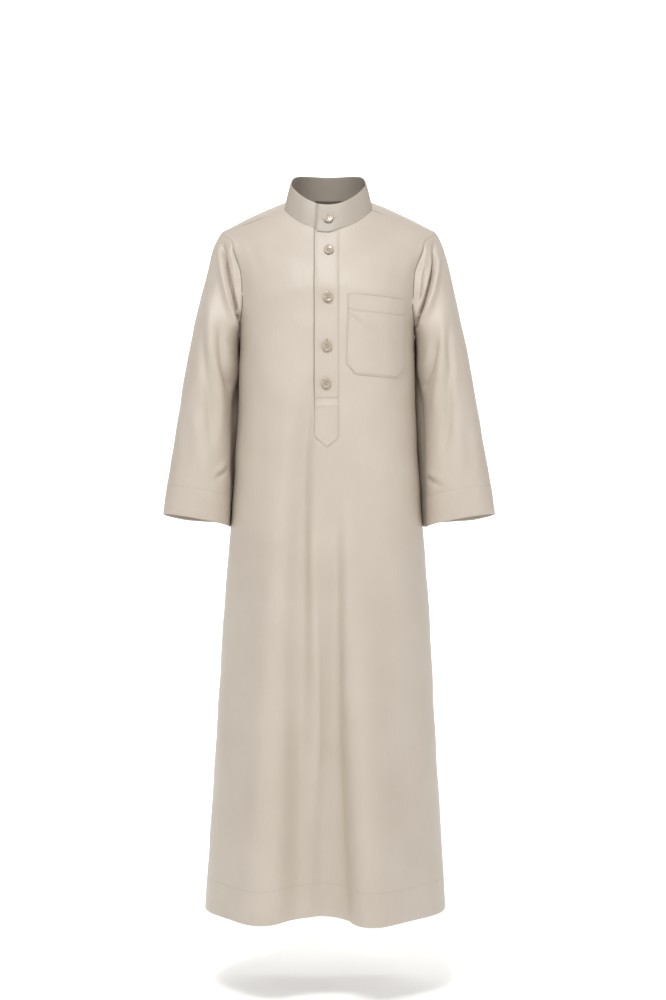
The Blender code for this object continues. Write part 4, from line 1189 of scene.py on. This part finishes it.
def buildPlacket(material):
    half = placketLap["width"] / 2
    xs = np.concatenate([[-half, -half + 0.0008, -half + 0.0016, -half + 0.0026],
                         np.linspace(-half + 0.0045, half - 0.0045, 18),
                         [half - 0.0026, half - 0.0016, half - 0.0008, half]])
    foot = placketLap["shoulderZ"] - placketLap["pointDrop"] * (1 - np.abs(xs) / half)
    top = collarPoint(xs, 0.0)[..., 2] + 0.0025
    # rows are close together at the two tucks and at the foot
    tucks = [z + d for z in placketLap["tuckZ"] for d in (-0.0018, -0.0009, 0.0, 0.0009, 0.0018)]
    straight = np.concatenate([np.linspace(-0.055, -0.281, 60), np.linspace(-0.298, -0.330, 9), tucks])
    straight = np.sort(straight)[::-1]
    rows = [top, *[np.full_like(xs, z) for z in straight]]
    rows += [foot + s for s in (0.0045, 0.0026, 0.0016, 0.0008, 0.0)]
    z = np.array(rows)
    x = np.broadcast_to(xs, z.shape)
    rest = frontPanel["thickness"] / 2 + placketLap["room"] + placketLap["thickness"] / 2
    fromFree, fromSewn = x + half, half - x
    free = ramp(z, placketLap["tuckZ"][0] - 0.002, placketLap["tuckZ"][0] + 0.004)
    share = placketLap["sewnShare"] + (1 - placketLap["sewnShare"]) * free
    lift = rest + placketLap["edgeLift"] * dip(fromFree, placketLap["edgeSpread"]) * share
    lift = lift - placketLap["stitchDip"] * dip(fromSewn - placketLap["stitchInset"],
                                                placketLap["stitchSpread"])
    lift = lift - placketLap["seamDip"] * dip(fromSewn, placketLap["seamSpread"])
    underCollar = ramp(z, top - placketLap["underCollar"], top)
    lift = lift * (1 - underCollar) + placketLap["underCollarLift"] * underCollar
    for tuckZ, height in zip(placketLap["tuckZ"], placketLap["tuckHeights"]):
        lift = lift + height * dip(z - tuckZ, placketLap["tuckSpread"])
    wave = np.sin((z - placketLap["slackTop"]) / placketLap["slackLength"] * 2 * math.pi)
    lift = lift + placketLap["slack"] * wave * dip(fromFree, placketLap["slackSpread"])
    grid = onFront(x, z, lift)[::-1]
    uv = np.stack([x, z], -1)[::-1]
    piece = addSheet("placketLap", grid, uv, placketLap["thickness"], material, bevel=placketLap["softEdge"])
    dress(piece, placketLap["node"])
    raised = rest + placketLap["thickness"] / 2 - 0.0001
    edge = half - placketLap["stitchInset"]
    shoulder = placketLap["shoulderZ"] + 0.001
    tip = placketLap["shoulderZ"] - 0.0132
    tuck = placketLap["tuckZ"][0]
    lines = [
        [(edge, -0.050), (edge, shoulder)],
        [(edge, shoulder), (0.0, tip), (-edge, shoulder), (-edge, tuck)],
        [(-edge, tuck), (edge, tuck)],
    ]
    stitches = [stitchesOnFront("placketStitches%d" % (k + 1), line, raised) for k, line in enumerate(lines)]
    return piece, stitches


def cornerPath(corners, step=0.0012):
    found = []
    for (x0, z0), (x1, z1) in zip(corners, corners[1:]):
        count = max(2, int(math.hypot(x1 - x0, z1 - z0) / step))
        share = np.linspace(0, 1, count, endpoint=False)
        found.append(np.stack([x0 + (x1 - x0) * share, z0 + (z1 - z0) * share], -1))
    return np.concatenate(found + [np.array([corners[-1]])])


def stitchesOnFront(name, corners, distance):
    line = cornerPath(corners)
    path = onFront(line[:, 0], line[:, 1], np.full(len(line), distance))
    place, share, side = placeAt(frontPanel, line[:, 0], line[:, 1])
    return stitchLine(name, path, panelNormal(frontPanel, place, share, side), threadCloth)


def buildUnderLap(material):
    half = underLap["width"] / 2
    xs = np.linspace(-half, half, 12)
    top = frontPanel["curves"]["centreZ"](frontPanel["lastPlace"]) - 0.001
    zs = np.linspace(top, underLap["footZ"], 70)
    z, x = np.meshgrid(zs, xs, indexing="ij")
    rest = frontPanel["thickness"] / 2 + underLap["room"] + underLap["thickness"] / 2
    grid = onFront(x, z, np.full(x.shape, -rest))[::-1]
    uv = np.stack([x, z], -1)[::-1]
    piece = addSheet("placketUnderLap", grid, uv, underLap["thickness"], material, bevel=underLap["softEdge"])
    return dress(piece, underLap["node"])


def pocketPlace(across, down):
    # where a point of the pocket is, from the share across and the share down
    top = np.array(chestPocket["topInner"]) + across[..., None] * (
        np.array(chestPocket["topOuter"]) - np.array(chestPocket["topInner"]))
    foot = np.array(chestPocket["footInner"]) + across[..., None] * (
        np.array(chestPocket["footOuter"]) - np.array(chestPocket["footInner"]))
    width = chestPocket["topOuter"][0] - chestPocket["topInner"][0]
    height = chestPocket["topInner"][1] - chestPocket["footInner"][1]
    near = np.minimum(across, 1 - across) * width / chestPocket["cutWidth"]
    full = 1 - chestPocket["cutHeight"] / height * np.clip(1 - near, 0, 1)
    return top + (foot - top) * (down * full)[..., None], full


def buildPocket(material):
    width = chestPocket["topOuter"][0] - chestPocket["topInner"][0]
    height = chestPocket["topInner"][1] - chestPocket["footInner"][1]
    cut = chestPocket["cutWidth"] / width
    ends = np.array([0.0, 0.0008, 0.0017, 0.0026, 0.0045]) / width
    across = np.concatenate([ends, np.linspace(ends[-1], cut, 5)[1:], np.linspace(cut, 1 - cut, 34)[1:-1],
                             1 - np.linspace(cut, ends[-1], 5)[:-1], 1 - ends[::-1]])
    hem = chestPocket["hemDepth"] / height
    inset = chestPocket["stitchInset"] / height
    down = np.concatenate([[0.0, 0.006, 0.014], np.linspace(0.03, hem - 0.03, 8),
                           hem + np.array([-0.016, -0.008, 0.0, 0.008, 0.016]),
                           np.linspace(hem + 0.035, 1 - 0.045, 40),
                           1 - np.array([2.6, 1.6, 1.0, 0.45, 0.0]) * inset])
    s, t = np.meshgrid(across, down, indexing="xy")
    spot, full = pocketPlace(s, t)
    x, z = spot[..., 0], spot[..., 1]
    sideRoom = np.minimum(s, 1 - s) * width
    footRoom = (1 - t) * height * full
    room = np.minimum(sideRoom, footRoom)
    rest = frontPanel["thickness"] / 2 + chestPocket["room"] + chestPocket["thickness"] / 2
    bow = chestPocket["bow"] * ramp(room, chestPocket["bowFrom"], chestPocket["bowFull"])
    lift = rest + bow * (1 - 0.4 * t)
    lift = lift - chestPocket["stitchDip"] * dip(room - chestPocket["stitchInset"],
                                                 chestPocket["stitchSpread"])
    lift = lift + creaseHeight(chestPocket["creases"], x, z) * ramp(room, 0.0005, 0.005)
    fromHem = (t - hem) * height
    lift = lift - chestPocket["hemDip"] * dip(fromHem, chestPocket["hemSpread"])
    lift = lift + chestPocket["hemRise"] * (1 - ramp(fromHem, -0.0005, 0.0006))
    grid = onFront(x, z, lift)[::-1]
    uv = np.stack([x, z], -1)[::-1]
    piece = addSheet("chestPocket", grid, uv, chestPocket["thickness"], material,
                     bevel=chestPocket["softEdge"])
    dress(piece, chestPocket["node"])
    inset = chestPocket["stitchInset"]
    (ix, iz), (ox, oz) = chestPocket["topInner"], chestPocket["topOuter"]
    (fx, fz), (gx, gz) = chestPocket["footInner"], chestPocket["footOuter"]
    w, h = chestPocket["cutWidth"], chestPocket["cutHeight"]
    slant = inset * 0.4
    outline = [(ix + inset, iz - 0.001), (fx + inset, fz + h + slant), (fx + w + slant, fz + inset - 0.0008),
               (gx - w - slant, gz + inset + 0.0008), (gx - inset, gz + h + slant), (ox - inset, oz - 0.001)]
    raised = rest + chestPocket["thickness"] / 2 + 0.0001
    around = stitchesOnFront("pocketStitches", outline, raised)
    depth = chestPocket["hemDepth"]
    line = cornerPath([(ix + inset, iz - depth), (ox - inset, oz - depth)])
    room = np.minimum(line[:, 0] - ix, ox - line[:, 0])
    bowed = rest + chestPocket["thickness"] / 2
    bowed = bowed + chestPocket["bow"] * 0.9 * ramp(room, chestPocket["bowFrom"], chestPocket["bowFull"])
    place, share, side = placeAt(frontPanel, line[:, 0], line[:, 1])
    hemStitches = stitchLine("pocketHemStitches", onFront(line[:, 0], line[:, 1], bowed - 0.0002),
                             panelNormal(frontPanel, place, share, side), threadCloth)
    return piece, [around, hemStitches]


# Buttons

def buttonMesh(material):
    shape = buttonShape
    r, top = shape["radius"], shape["thickness"]
    dished = top - shape["dish"]
    rim = r - shape["rim"]
    # from the middle of the top over the rim, down the side and back to the middle below
    profile = [(0.0, dished), (rim - 0.0009, dished), (rim - 0.0004, dished + 0.00018),
               (rim, top - 0.00015), (rim + 0.0003, top), (r - 0.0007, top),
               (r - 0.0003, top - 0.00015), (r - 0.00005, top - 0.0006), (r, top - 0.0011),
               (r - 0.0002, 0.0006), (r - 0.0009, 0.0001), (r - 0.0018, 0.0), (0.0, 0.0)]
    turns = np.arange(shape["sides"]) * 2 * math.pi / shape["sides"]
    points, faces, rings = [], [], []
    for radius, z in profile:
        if radius == 0.0:
            rings.append([len(points)])
            points.append((0.0, 0.0, z))
        else:
            rings.append(list(range(len(points), len(points) + shape["sides"])))
            points += [(radius * math.cos(a), radius * math.sin(a), z) for a in turns]
    for first, second in zip(rings, rings[1:]):
        for k in range(shape["sides"]):
            j = (k + 1) % shape["sides"]
            if len(first) == 1:
                faces.append((first[0], second[k], second[j]))
            elif len(second) == 1:
                faces.append((first[k], second[0], first[j]))
            else:
                faces.append((first[k], second[k], second[j], first[j]))
    blank = addMesh("buttonBlank", points, faces, material)
    sides = shape["holeSides"]
    circle = np.arange(sides) * 2 * math.pi / sides
    hole = shape["holeRadius"]
    drillPoints, drillFaces = [], []
    for x in (-shape["holeSpread"], shape["holeSpread"]):
        for y in (-shape["holeSpread"], shape["holeSpread"]):
            base = len(drillPoints)
            for z in (-0.004, 0.008):
                drillPoints += [(x + hole * math.cos(a), y + hole * math.sin(a), z) for a in circle]
            for k in range(sides):
                j = (k + 1) % sides
                drillFaces.append((base + k, base + j, base + sides + j, base + sides + k))
            drillFaces.append(tuple(base + sides - 1 - k for k in range(sides)))
            drillFaces.append(tuple(base + sides + k for k in range(sides)))
    drill = addMesh("buttonDrill", drillPoints, drillFaces, material)
    cut = blank.modifiers.new("holes", "BOOLEAN")
    cut.operation = "DIFFERENCE"
    cut.object = drill
    bpy.context.view_layer.update()
    mesh = bpy.data.meshes.new_from_object(blank.evaluated_get(bpy.context.evaluated_depsgraph_get()))
    mesh.name = "thobeButton"
    mesh.materials.clear()
    mesh.materials.append(material)
    mesh.shade_smooth()
    mesh.set_sharp_from_angle(angle=math.radians(32))
    bpy.data.objects.remove(blank)
    bpy.data.objects.remove(drill)
    return mesh


def frameAt(normal, upHint=(0, 0, 1)):
    n = Vector(normal).normalized()
    across = Vector(upHint).cross(n).normalized()
    up = n.cross(across)
    return across, up, n


def threadBars(name, point, axes, material):
    # the thread that shows in the button's four holes, and its shank below
    across, up, n = (np.array(a) for a in axes)
    shape = buttonThread
    sides = shape["sides"]
    spread = buttonShape["holeSpread"]
    floor = buttonShape["thickness"] - buttonShape["dish"]
    points, faces = [], []

    def tube(line, radius):
        line = np.array(line)
        tangents = unit(np.gradient(line, axis=0))
        base = len(points)
        for p, t in zip(line, tangents):
            side = np.cross(t, n)
            if np.linalg.norm(side) < 0.2:
                side = np.cross(t, up)
            side = side / np.linalg.norm(side)
            other = np.cross(t, side)
            for a in np.arange(sides) * 2 * math.pi / sides:
                points.append(p + (side * math.cos(a) + other * math.sin(a)) * radius)
        for i in range(len(line) - 1):
            for k in range(sides):
                j = (k + 1) % sides
                faces.append((base + i * sides + k, base + i * sides + j,
                              base + (i + 1) * sides + j, base + (i + 1) * sides + k))
        faces.append(tuple(base + sides - 1 - k for k in range(sides)))
        faces.append(tuple(base + (len(line) - 1) * sides + k for k in range(sides)))

    for offset in (-spread, spread):
        for strand in (-shape["strandOffset"], shape["strandOffset"]):
            line = []
            for t in np.linspace(-1, 1, 13):
                sunk = max(0.0, abs(t) - shape["sinkFrom"]) / (1 - shape["sinkFrom"])
                height = floor + shape["rise"] - shape["sink"] * sunk
                line.append(point + up * (spread * 1.02 * t) + across * (offset + strand) + n * height)
            tube(line, shape["radius"])
    for a in (0.6, 2.2, 3.8, 5.4):
        foot = (across * math.cos(a) + up * math.sin(a)) * shape["shankSpread"]
        shank = [point + foot + n * 0.0004, point + foot * 0.9 - n * 0.0006, point + foot * 1.1 - n * 0.0016]
        tube(shank, shape["shankRadius"])
    return dress(addMesh(name, points, faces, material))


def buttonhole(name, point, axes, material):
    # a worked slit: a low oval bead of close stitches round a narrow opening
    across, up, n = (np.array(a) for a in axes)
    shape = buttonholeShape
    count, wide = shape["points"], len(shape["profile"])
    points, faces = [], []
    for k in range(count):
        a = 2 * math.pi * k / count
        wave = 1.0 if k % 2 else shape["loose"]
        outAlong, outAcross = math.cos(a), math.sin(a)
        straight = (1 if outAlong > 0 else -1) * min(1.0, abs(outAlong) * 1.6)
        along = (shape["length"] / 2 - shape["slit"]) * straight
        for reach, height, stitched in shape["profile"]:
            raised = height * wave if stitched else height
            points.append(point + up * (along + outAlong * reach) + across * (outAcross * reach) + n * raised)
        j = (k + 1) % count
        faces += [(k * wide + i, k * wide + i + 1, j * wide + i + 1, j * wide + i) for i in range(wide - 1)]
    return dress(addMesh(name, points, faces, material))


def buildButtons(material):
    mesh = buttonMesh(material)
    made, spots = [], {}
    rest = frontPanel["thickness"] / 2 + placketLap["room"] + placketLap["thickness"]
    for node, (x, z) in buttonShape["places"].items():
        place, share, side = placeAt(frontPanel, np.array([x]), np.array([z]))
        normal = panelNormal(frontPanel, place, share, side)[0]
        surface = onFront(np.array([x]), np.array([z]), np.array([rest]))[0]
        spots[node] = (surface, frameAt(normal))
    foot, top = collarPoint(0.0, 0.0), collarPoint(0.0, 1.0)
    up = unit(top - foot)
    normal = np.cross(np.array([1.0, 0.0, 0.0]), up)
    middle = collarPoint(0.0, buttonShape["collarShare"])
    spots["button_collar"] = (middle + normal * collarBand["thickness"] / 2, frameAt(normal))
    for number, (node, (surface, axes)) in enumerate(spots.items()):
        across, up, n = axes
        lean = across * math.sin(number * 2.4) + up * math.cos(number * 1.9)
        button = bpy.data.objects.new("thobeButton_" + node, mesh)
        scene.collection.objects.link(button)
        spin = buttonShape["spin"] * math.sin(number * 1.7)
        across, up, n = frameAt(n + lean * buttonShape["lean"], up)
        turnedAcross = across * math.cos(spin) + up * math.sin(spin)
        turnedUp = n.cross(turnedAcross)
        standing = Vector(surface) + n * buttonShape["standOff"]
        button.matrix_world = matrixOf(turnedAcross, turnedUp, n, standing)
        dress(button, node)
        threads = threadBars("thread_" + node, np.array(standing), (turnedAcross, turnedUp, n), threadCloth)
        if node == "button_collar":  # its slit lies across, the others are upright
            slitAxes, shift = (up, across, n), across * buttonholeShape["collarShift"]
        else:
            slitAxes, shift = (across, up, n), up * buttonholeShape["placketShift"]
        slitAt = np.array(Vector(surface) + shift + n * buttonholeShape["lift"])
        hole = buttonhole("buttonhole_" + node, slitAt, slitAxes, threadCloth)
        made += [button, threads, hole]
    return made


def matrixOf(x, y, z, at):
    return Matrix([(x[k], y[k], z[k], at[k]) for k in range(3)] + [(0, 0, 0, 1)])


# Shoulder seams: a row of topstitching on the back panel, just behind each seam

def buildShoulderStitches():
    made = []
    low, high = backPanel["place"]["shoulder point"], backPanel["lastPlace"]
    for name, side in (("left", 1), ("right", -1)):
        places = np.linspace(low + shoulderStitch["afterPoint"], high - shoulderStitch["beforeNeck"],
                             shoulderStitch["samples"])
        shares = np.empty_like(places)
        dense = np.linspace(0.8, 1, 41)
        for i, place in enumerate(places):
            run = runLengths(panelPoint(backPanel, place, dense, side), 0)
            shares[i] = np.interp(run[-1] - shoulderStitch["inset"], run, dense)
        normals = panelNormal(backPanel, places, shares, side)
        path = clothPoint(backPanel, places, shares, side) + normals * backPanel["thickness"] / 2
        made.append(stitchLine("shoulderStitches_" + name, path, normals, threadCloth))
    return made


# The studio

studio = {
    "floorZ": -1.112,
    "floorColour": (0.90, 0.90, 0.89, 1.0),
    "world": 0.36,
    "worldColour": (1.0, 0.985, 0.96, 1.0),
    "floorGlow": 0.35,
    "paperSide": 8.0,
    "paperFront": -7.0,
    "paperTop": 7.0,
    "curveFrom": 5.0,
    "curveRadius": 1.6,
    "lights": [
        # name, place, target, size, power, colour
        ("key", (-0.42, -2.05, 2.12), (0.0, 0.0, -0.35), 0.8, 64, (0.975, 0.99, 1.0)),
        ("fill", (1.50, -2.30, 0.90), (0.0, 0.0, -0.35), 0.9, 9, (1.0, 1.0, 1.0)),
        ("sideLeft", (-2.80, -1.50, 0.48), (0.0, 0.0, -0.35), 1.0, 3, (1.0, 1.0, 1.0)),
        ("sideRight", (2.80, -1.50, 0.48), (0.0, 0.0, -0.35), 1.0, 6, (1.0, 1.0, 1.0)),
        ("backdrop", (0.0, 3.4, 3.2), (0.0, 6.2, -0.2), 3.4, 210, (1.0, 1.0, 1.0)),
    ],
    "cameraPlace": (0.0081, -3.8, -0.4246),
    "lens": 96.34,
}


def buildStudio():
    # a floor that curves up into the backdrop
    material, shader, add, link = nodeTools("studio paper")
    grain = add("ShaderNodeTexNoise", {"Scale": 3.0})
    link(add("ShaderNodeTexCoord").outputs["Object"], grain.inputs["Vector"])
    tones = toneRamp(add, darker(studio["floorColour"], 0.985), studio["floorColour"])
    link(grain.outputs["Fac"], tones.inputs["Fac"])
    link(tones.outputs["Color"], shader.inputs["Base Color"])
    setInputs(shader, {"Roughness": 0.9, "Specular IOR Level": 0.1, "Emission Color": (1.0, 1.0, 1.0, 1.0),
                       "Emission Strength": studio["floorGlow"]})
    start, radius = studio["curveFrom"], studio["curveRadius"]
    profile = [(studio["paperFront"], 0.0), (start, 0.0)]
    for a in np.linspace(0, math.pi / 2, 13)[1:]:
        profile.append((start + radius * math.sin(a), radius * (1 - math.cos(a))))
    profile.append((start + radius, studio["paperTop"]))
    side = studio["paperSide"]
    points = [(x, y, studio["floorZ"] + z) for y, z in profile for x in (-side, side)]
    faces = [(2 * i, 2 * i + 1, 2 * i + 3, 2 * i + 2) for i in range(len(profile) - 1)]
    paper = addMesh("studioPaper", points, faces, material)
    world = bpy.data.worlds.new("studio")
    scene.world = world
    world.use_nodes = True
    background = world.node_tree.nodes["Background"]
    setInputs(background, {"Color": studio["worldColour"], "Strength": studio["world"]})
    for name, place, target, size, power, colour in studio["lights"]:
        light = bpy.data.lights.new(name, "AREA")
        light.shape = "SQUARE"
        light.size = size
        light.energy = power
        light.color = colour
        lamp = bpy.data.objects.new(name, light)
        scene.collection.objects.link(lamp)
        lamp.location = place
        lamp.rotation_euler = (Vector(target) - Vector(place)).to_track_quat("-Z", "Y").to_euler()
    camera = bpy.data.cameras.new("camera")
    camera.sensor_fit = "VERTICAL"
    camera.sensor_height = 36.0
    camera.lens = studio["lens"]
    eye = bpy.data.objects.new("camera", camera)
    scene.collection.objects.link(eye)
    eye.location = studio["cameraPlace"]
    eye.rotation_euler = (math.pi / 2, 0, 0)
    scene.camera = eye
    scene.view_settings.view_transform = "Standard"


# Make it

cloths = {name: clothMaterial("thobe cloth " + name, clothFinish, toneAndPaintedShade)
          for name, toneAndPaintedShade in clothFinish["tonesAndPaintedShade"].items()}
threadCloth = threadMaterial(threadFinish)

preparePanel(frontPanel)
preparePanel(backPanel)
front, frontStitches = buildPanel(frontPanel, "frontCloth", cloths["front"])
print("front panel")
back, backStitches = buildPanel(backPanel, "backCloth", cloths["back"])
print("back panel")
leftArm, leftStitches = buildSleeve(leftSleeve, "sleeveLeft", cloths["sleeves"])
rightArm, rightStitches = buildSleeve(rightSleeve, "sleeveRight", cloths["sleeves"])
print("sleeves")
neckLine = neckSeam()
collar = buildCollar(cloths["collar"])
print("collar")
placket, placketStitches = buildPlacket(cloths["placket"])
under = buildUnderLap(cloths["placket"])
print("placket")
pocket, pocketStitches = buildPocket(cloths["pocket"])
print("pocket")
buildButtons(buttonMaterial(buttonFinish))
print("buttons")
shoulderStitches = buildShoulderStitches()
print("shoulder stitches")

buildStudio()
print("studio")
